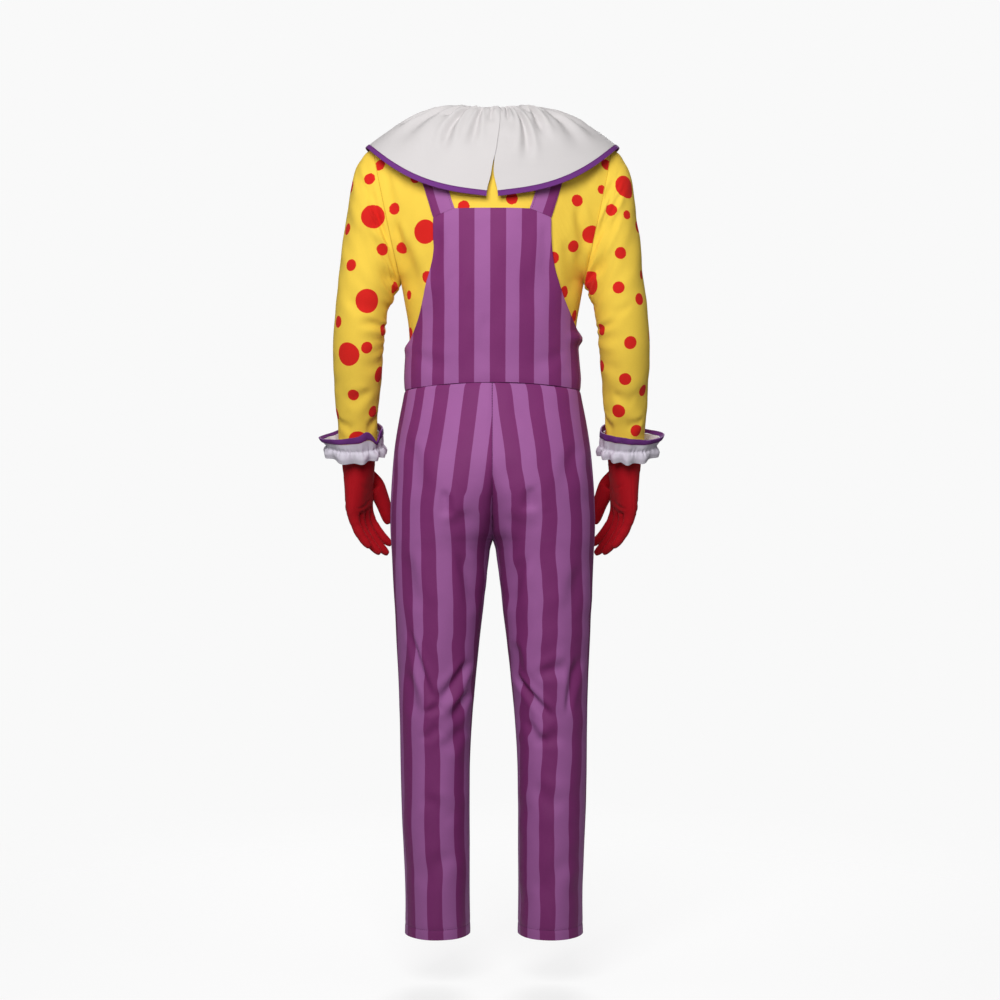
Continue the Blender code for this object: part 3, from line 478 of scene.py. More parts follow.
def make_twill(name, dark, light):
    """Stripes along the cloth: from 0 across it the light one comes first. A triangle wave
    over each pair is low in the middle of the light stripe and high in the dark one's."""
    material, shader = new_cloth(name, roughness=0.58, sheen=0.02, sheen_roughness=0.4)
    flat, parts, height = thread_height(material, across_mm=2.4, along_mm=2.4, knit=False)
    pair = add(material, "Math", {"operation": "DIVIDE"},
               {0: parts.outputs["X"], 1: 2 * STRIPE})
    place = add(material, "Math", {"operation": "FRACT"}, {0: pair.outputs[0]})
    shifted = add(material, "Math", {"operation": "SUBTRACT"},
                  {0: place.outputs[0], 1: 0.25})
    wrapped = add(material, "Math", {"operation": "WRAP"},
                  {0: shifted.outputs[0], 1: 1.0, 2: 0.0})
    centred = add(material, "Math", {"operation": "PINGPONG"},
                  {0: wrapped.outputs[0], 1: 0.5})
    striped = add(material, "MapRange", None,
                  {"Value": centred.outputs[0], "From Min": 0.25 - STRIPE_EDGE,
                   "From Max": 0.25 + STRIPE_EDGE})
    paint = add(material, "Mix", {"data_type": "RGBA"},
                {0: striped.outputs["Result"], 6: colour(light), 7: colour(dark)})
    finish_cloth(material, shader, paint.outputs[2], height, flat, bump_mm=0.18, uneven=0.06)
    return material


twill = make_twill("striped_polyester_twill", dark="#7C2E6C", light="#A05E9C")
print("stripes repeat every", 2000 * STRIPE, "mm")

# %% [markdown]
# ## Poplin, bias tape and thread
# Collar and frills are white polyester poplin, a plain weave with a cool, clean white and
# a dull gloss. Their edges are bound with purple bias tape, cotton that is folded over the
# edge, a little ribbed and matt. Thread is spun polyester with some shine.

# %% Plain cloths
def make_plain(name, paint_code, roughness, sheen, thread_mm, bump_mm, uneven):
    """A plain weave in one colour."""
    material, shader = new_cloth(name, roughness, sheen, 0.4)
    flat, _, height = thread_height(material, thread_mm, thread_mm, knit=False)
    paint = add(material, "RGB")
    paint.outputs[0].default_value = colour(paint_code)
    finish_cloth(material, shader, paint.outputs[0], height, flat, bump_mm, uneven)
    return material


poplin = make_plain("white_polyester_poplin", "#CFCBCB", 0.62, 0.05, 2.0, 0.12, 0.015)
frill_poplin = make_plain("lilac_white_frill_poplin", "#D6D0DC", 0.62, 0.05, 2.0, 0.12, 0.02)
bias_tape = make_plain("purple_cotton_bias_tape", "#6E3380", 0.70, 0.04, 1.8, 0.20, 0.05)
purple_thread = make_plain("purple_spun_thread", "#5E2358", 0.50, 0.05, 1.0, 0.05, 0.03)
white_thread = make_plain("white_spun_thread", "#D8D6DA", 0.50, 0.05, 1.0, 0.05, 0.02)
yellow_thread = make_plain("yellow_spun_thread", "#DDB53A", 0.50, 0.05, 1.0, 0.05, 0.03)
THREADS = {"purple": purple_thread, "white": white_thread, "yellow": yellow_thread}
print("finishes:", len(bpy.data.materials), "materials")

# %% [markdown]
# ## The shirt's front and back
# The shirt is cut from a front, a back and two sleeves. Above the underarm its surface
# bends from the chest to the shoulder seams, below it runs as half an ellipse to the hem,
# which is tucked into the dungarees. Heights are given as drops: metres below the base of
# the wearer's neck, where the frame has its origin. The wearer's left is the +X side and
# the back is the +Y side.

# %% Sizes of the shirt
SIDES = {"left": 1, "right": -1}
FACES = {"back": 1, "front": -1}
NAPE_DROP, NECK_SIDE_DROP = 0.026, 0.006    # neck seam at the centre and at the sides
NECK_HALF, NECK_DEPTH = 0.0590, 0.0560
NECK_SHARE = 0.40       # the neck seam's share of the top edge
SHOULDER, SHOULDER_DROP = 0.2150, 0.0740    # shoulder tips
ARMHOLE, ARMHOLE_DROP, ARMHOLE_DEPTH = 0.1640, 0.3180, 0.0640   # the underarm
SHIRT_HEM = 0.6200
TORSO = Table("drop side back front", *from_mm(
    (26, 215, 56, 56), (60, 215, 76, 80), (110, 210, 98, 102), (170, 200, 113, 115),
    (240, 180, 116, 121), (318, 164, 110, 118), (355, 157.5, 105, 114), (390, 151.5, 100, 110),
    (420, 149.5, 95, 106.5), (450, 151.5, 89.5, 104), (480, 153.5, 86, 102),
    (520, 155, 87, 102), (560, 160, 96, 104), (620, 169, 112, 106),
))
print("the shirt is", 2 * SHOULDER, "m across the shoulders and ends", SHIRT_HEM, "m down")


# %% The shirt above the underarm
CHEST_OPENS = 0.65      # radians by which a row's ends open out at chest height
SHOULDER_FALL = 1.5     # the shoulder seam falls slowly first, then faster


def shoulder_line(u, face):
    """The top edge of the front or back: half the neck seam, then the shoulder seams."""
    size = np.abs(u)
    turn = np.clip(size / NECK_SHARE, 0, 1) * math.pi / 2
    run = np.clip((size - NECK_SHARE) / (1 - NECK_SHARE), 0, None)
    x = np.sign(u) * (NECK_HALF * np.sin(turn) + (SHOULDER - NECK_HALF) * run)
    y = face * NECK_DEPTH * np.cos(turn)
    neck_drop = NECK_SIDE_DROP + (NAPE_DROP - NECK_SIDE_DROP) * np.cos(turn) ** 2
    fall = (SHOULDER_DROP - NECK_SIDE_DROP) * run ** SHOULDER_FALL
    return points(x, y, -(neck_drop + fall))


def shirt_row(u, rise, face):
    """A row of the shirt above the underarm, before the shoulder line shapes it."""
    ring = math.pi * rise
    climb = (1 - np.cos(ring)) / 2
    side = ARMHOLE + (SHOULDER - ARMHOLE) * climb
    side_drop = ARMHOLE_DROP + (SHOULDER_DROP - ARMHOLE_DROP) * climb
    side_y = face * ARMHOLE_DEPTH * np.sin(ring)
    drop = ARMHOLE_DROP + (NAPE_DROP - ARMHOLE_DROP) * np.sin(ring / 2)
    centre_y = face * TORSO.at("back" if face > 0 else "front", drop)
    most = math.pi / 2 - CHEST_OPENS * np.sin(ring / 2)
    bend = (np.cos(u * most) - np.cos(most)) / (1 - np.cos(most))
    x = side * np.sin(u * most) / np.sin(most)
    return points(x, side_y + (centre_y - side_y) * bend,
                  -(side_drop + (drop - side_drop) * bend))


# %% The shirt's surface
def shirt_surface(face):
    """Front or back: u from the right edge, -1, to the left, 1; v from the hem, 0, to the
    underarm, 1, and on to the shoulder, 2."""
    column = "back" if face > 0 else "front"

    def surface(u, v):
        drop = SHIRT_HEM + (ARMHOLE_DROP - SHIRT_HEM) * v
        turn = u * math.pi / 2
        below = points(TORSO.at("side", drop) * np.sin(turn),
                       face * TORSO.at(column, drop) * np.cos(turn), -drop)
        rise = np.clip(v - 1, 0, None)
        above = shirt_row(u, rise, face)
        shape = shoulder_line(u, face) - shirt_row(u, np.ones_like(rise), face)
        above = above + points(rise ** 2, rise ** 4, soft(rise)) * shape
        found = np.where((v > 1)[..., None], above, below)
        return found + np.array((0, face * SEAM / 2, 0))

    return surface


# %% Find a place on the shirt
SEARCH_STEPS, SEARCH_SPEED = 25, 0.8
FLATTEST = 1e-5         # keeps the search steady where the surface turns away


def find_on_shirt(face, x, drop):
    """The u, v where the front or back passes the given x and drop, found in steps that
    follow the surface's own slopes."""
    surface = shirt_surface(face)
    u = np.array(x / TORSO.at("side", drop))
    v = np.where(drop > ARMHOLE_DROP, (drop - SHIRT_HEM) / (ARMHOLE_DROP - SHIRT_HEM),
                 1 + (ARMHOLE_DROP - drop) / ARMHOLE_DROP)
    step = 1e-4
    for _ in range(SEARCH_STEPS):
        here = surface(u, v)
        du = (surface(u + step, v) - surface(u - step, v)) / (2 * step)
        dv = (surface(u, v + step) - surface(u, v - step)) / (2 * step)
        miss_x, miss_z = x - here[..., 0], -drop - here[..., 2]
        area = du[..., 0] * dv[..., 2] - du[..., 2] * dv[..., 0]
        area = np.where(np.abs(area) < FLATTEST, -FLATTEST, area)
        along_u = SEARCH_SPEED * (miss_x * dv[..., 2] - miss_z * dv[..., 0]) / area
        along_v = SEARCH_SPEED * (miss_z * du[..., 0] - miss_x * du[..., 2]) / area
        u, v = np.clip(u + along_u, -1, 1), v + along_v
    return u, v


# %% Folds of the shirt
SOFTER = 1.7            # jersey folds this much deeper than its rows say
# Start x and drop, end x and drop, half width, depth, bow: millimetres on the body.
SHIRT_FOLDS = {
    1: from_mm(
        (176, 215, 160, 300, 10, 4, 4), (150, 250, 138, 345, 12, 2.8, 0),
        (190, 120, 182, 200, 9, 2, 3), (-150, 190, -172, 262, 10, 3, -4),
        (-152, 262, -160, 330, 11, 3, 0), (-128, 250, -142, 350, 12, 2.4, 3),
        (-186, 100, -160, 150, 9, 1.8, 0), (90, 240, 128, 330, 14, 1.6, 4),
    ),
    -1: from_mm(
        (170, 210, 150, 300, 11, 3.6, 4), (140, 240, 136, 340, 12, 2.4, -3),
        (-168, 205, -150, 305, 10, 3.6, -3), (-136, 235, -140, 345, 13, 2.2, 4),
        (190, 110, 170, 170, 10, 1.8, 0), (-192, 105, -166, 170, 10, 1.8, 2),
        (-50, 140, 55, 165, 16, 1.4, 6),
    ),
}
print("folds on the shirt:", [len(rows) for rows in SHIRT_FOLDS.values()])

# %% The folded shirt
HALF_ROUND = 0.20       # metres along the cloth from the centre to the edge, about


def shirt_cloth(face, u, v):
    """Points of the folded shirt and the directions out of it."""
    surface = shirt_surface(face)
    smooth = surface(u, v)
    out = across_surface(surface, u, np.clip(v, 0.01, 1.985)) * -face
    x, drop = smooth[..., 0], -smooth[..., 2]
    edge = (1 - np.abs(u)) * HALF_ROUND
    sink = fold_depth(SHIRT_FOLDS[face], x, drop) * soft(edge / 0.02 + 0.2)
    sink = sink + ripples(x, drop, 0.075, 0.0005, 3 + face) * soft(edge / 0.03)
    sink = SOFTER * sink + beside_seam(edge, 0.0004, 0.0028)
    return smooth - out * sink[..., None], out


# %% [markdown]
# ## Where the spots lie
# Most spots are about 43, 22 or 17 mm across, a few lie in between. They are scattered so
# that no two touch and the big ones keep apart. Each is a row: u, v and radius. A spot that
# reaches a seam is cut by it, as printed cloth is.

# %% Distance to the nearest spot
BIG, MIDDLE, SMALL = 0.0214, 0.0108, 0.0084     # radii


def spot_edges(surface, grid, rows):
    """Metres from each point to the edge of the nearest spot, less than 0 inside it."""
    nearest = np.full(grid.shape[:2], 1.0)
    for u, v, radius in rows:
        middle = surface(np.array(u), np.array(v))
        nearest = np.minimum(nearest, np.linalg.norm(grid - middle, axis=-1) - radius)
    return nearest


# %% Spots of the shirt
SHIRT_SPOTS = {
    1: (
        (0.97, 1.72, MIDDLE), (0.90, 1.46, MIDDLE), (0.66, 1.50, MIDDLE), (0.56, 1.23, BIG),
        (0.88, 1.26, MIDDLE), (0.50, 1.01, MIDDLE), (0.77, 0.92, SMALL), (0.87, 0.70, MIDDLE),
        (-0.15, 1.31, MIDDLE), (0.22, 1.28, MIDDLE), (-0.75, 1.43, MIDDLE),
        (-0.72, 1.21, MIDDLE), (-0.98, 1.73, MIDDLE), (-0.98, 1.59, SMALL),
        (-0.96, 1.37, 0.0160), (-0.48, 1.10, MIDDLE), (-0.59, 0.93, MIDDLE),
        (-0.82, 0.80, MIDDLE), (0.30, 1.66, BIG), (-0.36, 1.60, BIG), (0.02, 1.55, MIDDLE),
        (-0.62, 1.72, MIDDLE), (0.66, 1.80, MIDDLE), (0.10, 1.10, BIG), (-0.25, 0.95, BIG),
        (0.25, 0.80, MIDDLE), (-0.50, 0.62, BIG), (0.45, 0.55, MIDDLE), (-0.05, 0.55, SMALL),
        (0.70, 0.30, BIG), (-0.75, 0.28, MIDDLE), (0.10, 0.22, BIG), (-0.30, 0.15, MIDDLE),
    ),
    -1: (
        (0.62, 1.38, BIG), (0.86, 1.22, MIDDLE), (0.70, 1.06, MIDDLE), (0.93, 1.52, MIDDLE),
        (0.60, 1.61, MIDDLE), (0.90, 0.90, MIDDLE), (0.74, 0.80, SMALL), (0.95, 1.74, SMALL),
        (-0.60, 1.46, MIDDLE), (-0.84, 1.36, BIG), (-0.67, 1.17, MIDDLE), (-0.92, 1.12, SMALL),
        (-0.78, 0.94, MIDDLE), (-0.90, 1.66, MIDDLE), (-0.66, 1.68, SMALL),
        (-0.90, 0.70, MIDDLE), (0.16, 1.42, MIDDLE), (-0.12, 1.38, SMALL), (-0.30, 1.52, BIG),
        (0.36, 1.62, MIDDLE), (0.05, 1.66, SMALL), (0.22, 1.14, BIG), (-0.28, 1.02, MIDDLE),
        (-0.10, 0.78, BIG), (0.42, 0.78, MIDDLE), (0.55, 0.48, BIG), (-0.52, 0.50, MIDDLE),
        (0.05, 0.42, SMALL), (-0.30, 0.22, BIG), (0.30, 0.16, MIDDLE), (0.84, 0.18, MIDDLE),
        (-0.82, 0.20, SMALL),
    ),
}
print("spots on the shirt:", [len(rows) for rows in SHIRT_SPOTS.values()])

# %% Make the shirt's front and back
across = np.linspace(-1, 1, 81)
up = np.concatenate([np.linspace(0, 1, 42), np.linspace(1, 2, 62)[1:]])
for name, face in FACES.items():
    u, v = np.meshgrid(across, up)
    outer, out = shirt_cloth(face, u, v)
    spots = spot_edges(shirt_surface(face), shirt_surface(face)(u, v), SHIRT_SPOTS[face])
    lay(f"knit_{name}", outer, face, jersey, spots=spots)
    piece = made[f"knit_{name}"]
    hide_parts(f"shirt_{name}")
    stitch("yellow", outer[3], out[3])

# %% [markdown]
# ## The sleeves
# A sleeve is a tube of jersey, set into the armhole, bent a little at the elbow and drawn
# in at the wrist. Where the arm bends, the inner side has too much cloth, so folds fan out
# from there. The tube's rings are tilted at the shoulder and level out towards the wrist.

# %% Sizes of a sleeve
ARM_SPREAD = {1: 0.0030, -1: -0.0010}   # how much further out each arm hangs
ROUND_ARM, ARM_LENGTH = 0.30, 0.56      # for placing folds and spots in metres
# Rings down the arm: outer and inner point with their drops, how far back the middle
# lies, half depth, and lean towards the front in radians.
SLEEVE = Table(
    "along outer outer_drop inner inner_drop mid depth lean",
    (0.00, SHOULDER, SHOULDER_DROP, ARMHOLE, ARMHOLE_DROP, 0.000, ARMHOLE_DEPTH, 0.00),
    (0.07, 0.2330, 0.0920, 0.1665, 0.3255, 0.003, 0.0640, 0.00),
    (0.15, 0.2470, 0.1230, 0.1695, 0.3325, 0.006, 0.0630, 0.00),
    (0.24, 0.2560, 0.1720, 0.1730, 0.3410, 0.010, 0.0610, 0.01),
    (0.34, 0.2635, 0.2360, 0.1775, 0.3520, 0.014, 0.0580, 0.03),
    (0.44, 0.2710, 0.3010, 0.1835, 0.3700, 0.016, 0.0550, 0.06),
    (0.54, 0.2780, 0.3650, 0.1880, 0.3990, 0.014, 0.0530, 0.12),
    (0.64, 0.2830, 0.4230, 0.1920, 0.4380, 0.006, 0.0510, 0.20),
    (0.74, 0.2830, 0.4770, 0.1965, 0.4810, -0.007, 0.0470, 0.27),
    (0.84, 0.2805, 0.5270, 0.2010, 0.5260, -0.022, 0.0430, 0.29),
    (0.93, 0.2780, 0.5730, 0.2055, 0.5700, -0.036, 0.0385, 0.29),
    (1.00, 0.2775, 0.6180, 0.2065, 0.6150, -0.048, 0.0350, 0.29),
)
ARMHOLE_PLANE = unit(np.array((ARMHOLE_DROP - SHOULDER_DROP, 0, ARMHOLE - SHOULDER)))
print("at the wrist a sleeve is", round(2000 * float(SLEEVE.at("depth", 1.0))), "mm deep")


# %% The surface of a sleeve
def sleeve_surface(side):
    """u round the arm from the outer line over the back; v from the armhole to the wrist."""

    def surface(u, v):
        turn = u * 2 * math.pi
        outer, inner = SLEEVE.at("outer", v), SLEEVE.at("inner", v)
        outer_drop, inner_drop = SLEEVE.at("outer_drop", v), SLEEVE.at("inner_drop", v)
        depth, lean = SLEEVE.at("depth", v), SLEEVE.at("lean", v)
        x = (outer + inner) / 2 + (outer - inner) / 2 * np.cos(turn)
        drop = (outer_drop + inner_drop) / 2 + (outer_drop - inner_drop) / 2 * np.cos(turn)
        y = SLEEVE.at("mid", v) + depth * np.sin(turn) * np.cos(lean)
        drop = drop + depth * np.sin(turn) * np.sin(lean)
        found = points(x + ARM_SPREAD[side] * soft(v / 0.5), y, -drop)
        return (found + ARMHOLE_PLANE * SEAM) * np.array((side, 1, 1))

    return surface


# %% Folds of the sleeves
# Start round and along the arm, end round and along, half width, depth, bow: millimetres.
SLEEVE_FOLDS = {
    1: from_mm(
        (58, 73, 83, 20, 4.5, 3, 2), (70, 102, 96, 12, 5.5, 3.6, -4),
        (38, 70, 72, 26, 11, 2.2, 4), (110, 70, 62, 186, 13, 2, 10),
        (131, 40, 103, 156, 8, 2.6, 0), (74, 316, 126, 280, 9, 2.2, 2),
        (170, 298, 78, 306, 8, 3, 2), (176, 322, 76, 337, 9, 3.8, -3),
        (172, 342, 90, 368, 8, 3.4, 3), (168, 364, 84, 390, 10, 2.8, -2),
        (50, 276, 78, 288, 11, 1.4, 0), (110, 440, 60, 470, 12, 1.8, 3),
        (250, 60, 215, 20, 7, 3, 3), (232, 110, 196, 30, 9, 2.6, -3),
        (160, 310, 222, 322, 10, 3, 3), (158, 346, 214, 350, 9, 3, -2),
        (270, 250, 236, 286, 12, 1.4, 3), (205, 420, 255, 450, 12, 1.8, 2),
        (20, 505, 70, 520, 8, 1.6, 0), (150, 500, 100, 522, 8, 2, 2),
        (215, 500, 175, 520, 8, 1.8, 0),
    ),
    -1: from_mm(
        (92, 2, 50, 82, 6.2, 4.6, -3), (102, 6, 63, 114, 7, 4, 4), (62, 4, 56, 42, 6, 2.8, 0),
        (130, 30, 94, 154, 8.5, 3.4, 4), (80, 20, 46, 64, 5, 2.6, 1),
        (170, 304, 84, 302, 8, 2.8, -2), (176, 327, 78, 336, 9.5, 3.8, 3),
        (174, 349, 92, 369, 8, 3.2, -3), (170, 367, 85, 397, 10, 2.8, 2),
        (57, 283, 98, 284, 10, 1.6, 1), (106, 446, 56, 462, 12, 1.8, -3),
        (246, 66, 212, 22, 7, 3, -3), (228, 104, 192, 32, 9, 2.6, 3),
        (162, 316, 220, 314, 10, 3, -2), (156, 340, 218, 356, 9, 3, 2),
        (262, 240, 232, 280, 12, 1.4, 2), (210, 430, 250, 444, 12, 1.8, -2),
        (30, 500, 76, 516, 8, 1.6, 0), (150, 498, 106, 524, 8, 2, -2),
        (220, 504, 180, 518, 8, 1.8, 0),
    ),
}
print("folds on the sleeves:", [len(rows) for rows in SLEEVE_FOLDS.values()])

# %% Spots of the sleeves
SLEEVE_SPOTS = {
    1: (
        (0.15, 0.06, MIDDLE), (0.23, 0.12, BIG), (0.31, 0.14, MIDDLE), (0.16, 0.39, MIDDLE),
        (0.29, 0.46, BIG), (0.44, 0.18, MIDDLE), (0.10, 0.57, MIDDLE), (0.44, 0.55, MIDDLE),
        (0.195, 0.66, BIG), (0.315, 0.628, MIDDLE), (0.43, 0.73, 0.0145), (0.23, 0.80, MIDDLE),
        (0.39, 0.87, MIDDLE), (0.05, 0.88, MIDDLE), (0.26, 0.957, 0.0167), (0.08, 0.31, MIDDLE),
        (0.05, 0.19, MIDDLE), (0.62, 0.10, BIG), (0.74, 0.22, MIDDLE), (0.86, 0.11, MIDDLE),
        (0.94, 0.29, BIG), (0.78, 0.38, BIG), (0.62, 0.32, MIDDLE), (0.66, 0.50, MIDDLE),
        (0.91, 0.47, MIDDLE), (0.82, 0.58, BIG), (0.60, 0.66, MIDDLE), (0.96, 0.71, MIDDLE),
        (0.72, 0.75, MIDDLE), (0.87, 0.84, BIG), (0.64, 0.87, MIDDLE), (0.76, 0.96, MIDDLE),
        (0.52, 0.41, MIDDLE), (0.99, 0.56, SMALL),
    ),
    -1: (
        (0.12, 0.15, BIG), (0.22, 0.10, MIDDLE), (0.15, 0.23, SMALL), (0.22, 0.31, MIDDLE),
        (0.42, 0.16, BIG), (0.26, 0.42, MIDDLE), (0.13, 0.50, MIDDLE), (0.42, 0.55, MIDDLE),
        (0.22, 0.62, 0.0118), (0.26, 0.74, 0.0112), (0.115, 0.79, MIDDLE), (0.31, 0.86, 0.0124),
        (0.17, 0.93, MIDDLE), (0.05, 0.31, MIDDLE), (0.07, 0.44, SMALL), (0.02, 0.62, MIDDLE),
        (0.455, 0.70, MIDDLE), (0.49, 0.95, MIDDLE), (0.58, 0.12, MIDDLE), (0.70, 0.20, BIG),
        (0.84, 0.10, MIDDLE), (0.93, 0.22, MIDDLE), (0.84, 0.34, MIDDLE), (0.64, 0.38, BIG),
        (0.93, 0.46, BIG), (0.74, 0.52, MIDDLE), (0.60, 0.60, MIDDLE), (0.84, 0.64, MIDDLE),
        (0.70, 0.72, BIG), (0.92, 0.76, MIDDLE), (0.58, 0.86, MIDDLE), (0.80, 0.88, MIDDLE),
        (0.95, 0.92, MIDDLE), (0.68, 0.96, SMALL), (0.51, 0.40, SMALL),
    ),
}
print("spots on the sleeves:", [len(rows) for rows in SLEEVE_SPOTS.values()])

# %% How far a sleeve's cloth sinks
ELBOW, ELBOW_REACH = 0.345, 0.080   # metres down the arm
ELBOW_CALM = 0.8        # the folds lie this much flatter there, as the bent arm fills them
ARM_RADIUS = 0.05       # for the ripples, which are placed in space round the arm


def sleeve_sink(side, u, v):
    """Folds, ripples, the rolled-in armhole and the underarm seam, in metres."""
    round_arm, along_arm = np.mod(u, 1) * ROUND_ARM, v * ARM_LENGTH
    sink = fold_depth(SLEEVE_FOLDS[side], round_arm, along_arm, around=ROUND_ARM)
    sink = sink * soft(along_arm / 0.012 + 0.15) * soft((1 - v) / 0.03)
    turn = u * 2 * math.pi
    waves = ripples(along_arm, ARM_RADIUS * np.cos(turn), 0.07, 0.0005, 11 + side)
    waves = waves + ripples(along_arm + 0.3, ARM_RADIUS * np.sin(turn), 0.05, 0.0004,
                            15 + side)
    sink = sink + waves * soft(v / 0.05) * soft((1 - v) / 0.05)
    sink = SOFTER * (1 - ELBOW_CALM * bell((along_arm - ELBOW) / ELBOW_REACH)) * sink
    sink = sink + beside_seam(along_arm, 0.0004, 0.0028)
    return sink + beside_seam(ROUND_ARM / 2 - np.abs(u - 1) * ROUND_ARM, 0.0006)


# %% Make the sleeves
around = 0.5 + np.arange(84) / 84
down = np.concatenate([np.linspace(0, 0.06, 9), np.linspace(0.06, 1, 128)[1:]])
for name, side in SIDES.items():
    surface = sleeve_surface(side)
    u, v = np.meshgrid(around, down)
    smooth = surface(u, v)
    out = grid_squares(smooth, wraps=True) * -side
    outer = smooth - out * sleeve_sink(side, u, v)[..., None]
    spots = spot_edges(surface, smooth, SLEEVE_SPOTS[side])
    outer, out = lay(f"knit_sleeve_{name}", outer, side, jersey, wraps=True, spots=spots)
    seam, lift = (np.concatenate([rows[0], rows[0][:1]]) for rows in (outer, out))
    stitch("yellow", seam - lift * 0.0006, lift, **IN_SEAM)
    piece = made[f"knit_sleeve_{name}"]
    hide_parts(f"sleeve_{name}")

# %% [markdown]
# ## The cape collar
# The collar is a wide shaped strip of poplin, gathered into the neck seam. From there it
# rises a little, folds over and falls over the shoulders to a bound edge. The gathers are
# crisp in the first centimetre and run out into a few long soft troughs. At the centre
# back it is split, and the split hangs closed until it opens in a small V at the edge.

# %% Sizes of the collar
COLLAR_SIDE, COLLAR_BACK, COLLAR_FRONT = 0.2280, 0.1300, 0.1480     # its outer edge
COLLAR_SIDE_DROP, COLLAR_BACK_DROP = 0.0750, 0.1800
COLLAR_SQUARE = 2.25    # 2 would make the edge an ellipse, more is squarer
COLLAR_NECK = (0.0610, 0.0580)          # half width and depth of the fold round the neck
COLLAR_STAND = 0.06     # share of the collar's width that stands up from the neck seam
COLLAR_SEAT = 0.0005    # its lower edge above the neck seam
FOLD_DIP = 0.012        # how much lower the fold round the neck is at the back and front
COLLAR_ROUND, COLLAR_WIDE = 1.10, 0.19  # for placing folds in metres
BINDING = 0.0072        # the width of the binding that shows
SPLIT_SWAY, SPLIT_OPEN = 0.010, 0.0080  # how far the split wanders, and opens at its end
OVERLAP = 0.0040        # the left flap lies over the right one by this much, less the gap
print("the collar is", 2 * COLLAR_SIDE, "m wide and reaches", COLLAR_BACK_DROP, "m down")


# %% The collar's surface
def collar_surface(u, v):
    """u round the neck, from 0 at the centre back over the wearer's left, the front and
    the right, to 1; v from the neck seam, -COLLAR_STAND, up to the fold, 0, and down to
    the outer edge, 1."""
    turn = math.pi / 2 - 2 * math.pi * u
    across, back = np.cos(turn), np.sin(turn)
    depth = np.where(back > 0, COLLAR_BACK, COLLAR_FRONT)
    square = 2 / COLLAR_SQUARE
    aside = np.abs(across) ** square
    edge_x = COLLAR_SIDE * np.sign(across) * aside
    edge_y = depth * np.sign(back) * np.abs(back) ** square
    level = np.where(back > 0, 1 - 0.25 * aside - 0.75 * aside ** 3, np.abs(back) ** 2.7)
    edge_drop = COLLAR_SIDE_DROP + (COLLAR_BACK_DROP - COLLAR_SIDE_DROP) * level
    out, stand = np.clip(v, 0, None), np.clip(-v / COLLAR_STAND, 0, 1)
    neck_x = (COLLAR_NECK[0] + (NECK_HALF - COLLAR_NECK[0]) * stand) * across
    neck_y = (COLLAR_NECK[1] + (NECK_DEPTH - COLLAR_NECK[1]) * stand) * back
    seam_drop = NECK_SIDE_DROP + (NAPE_DROP - NECK_SIDE_DROP) * back ** 2 - COLLAR_SEAT
    top_drop = FOLD_DIP * back ** 2
    neck_drop = top_drop + (seam_drop - top_drop) * stand
    fall = out ** (1.9 - 0.35 * back ** 2)
    opened = SPLIT_OPEN * soft((v - 0.80) / 0.20) * np.cos(math.pi * u) ** 40
    x = neck_x + (edge_x - neck_x) * out
    x = x + np.where(u < 0.5, opened, -opened)
    y = neck_y + (edge_y - neck_y) * out
    drop = neck_drop + (edge_drop - neck_drop) * fall
    sway = SPLIT_SWAY * bell(x / 0.05) * (back > 0) * soft(v / 0.05)
    sway = sway * (1 - soft((v - 0.3) / 0.6))
    return points(x - sway, y, -drop)


# %% Folds of the collar
# Start round and down, end round and down, half width, depth, bow: millimetres.
COLLAR_FALLS = from_mm(
    (106, 4, 78, 137, 9, 5.6, -6), (66, 4, 36, 118, 7, 4.4, 4), (-80, 4, -46, 150, 8, 5.2, 6),
    (-172, 4, -98, 108, 9, 5, -6), (-190, 50, -146, 162, 15, 3.4, 4),
    (-236, 20, -204, 165, 16, 3, 6), (180, 20, 170, 172, 18, 3.4, -6),
    (120, 110, 86, 170, 12, 1.8, 0), (142, 6, 136, 70, 8, 3.4, 2), (-40, 6, -24, 60, 6, 2.6, 0),
    (26, 6, 14, 66, 6, 2.4, 0), (-124, 6, -112, 52, 6, 2.4, 0), (226, 6, 232, 130, 11, 4.2, 4),
    (268, 10, 262, 160, 13, 3.6, -4), (-276, 6, -282, 140, 11, 4, 4),
    (-320, 8, -314, 170, 14, 3.8, 4), (312, 6, 326, 150, 11, 4.4, 3),
    (360, 4, 352, 110, 9, 4.8, -4), (402, 6, 418, 160, 12, 4, 4), (446, 4, 440, 90, 8, 4.4, 0),
    (492, 6, 500, 165, 13, 4.6, 6), (-366, 4, -378, 120, 9, 4.4, -3),
    (-410, 6, -402, 165, 12, 4, -4), (-452, 4, -464, 100, 8, 4.6, 3),
    (-506, 6, -500, 140, 11, 3.8, 3),
)
print("folds on the collar:", len(COLLAR_FALLS))

# %% The folded collar
CRISPER = 1.6           # poplin and twill fold this much deeper than their rows say
PLEATS = 58             # gathers round the neck
FLAP = 0.0026           # how far the left flap stands off, so that it clears the right one


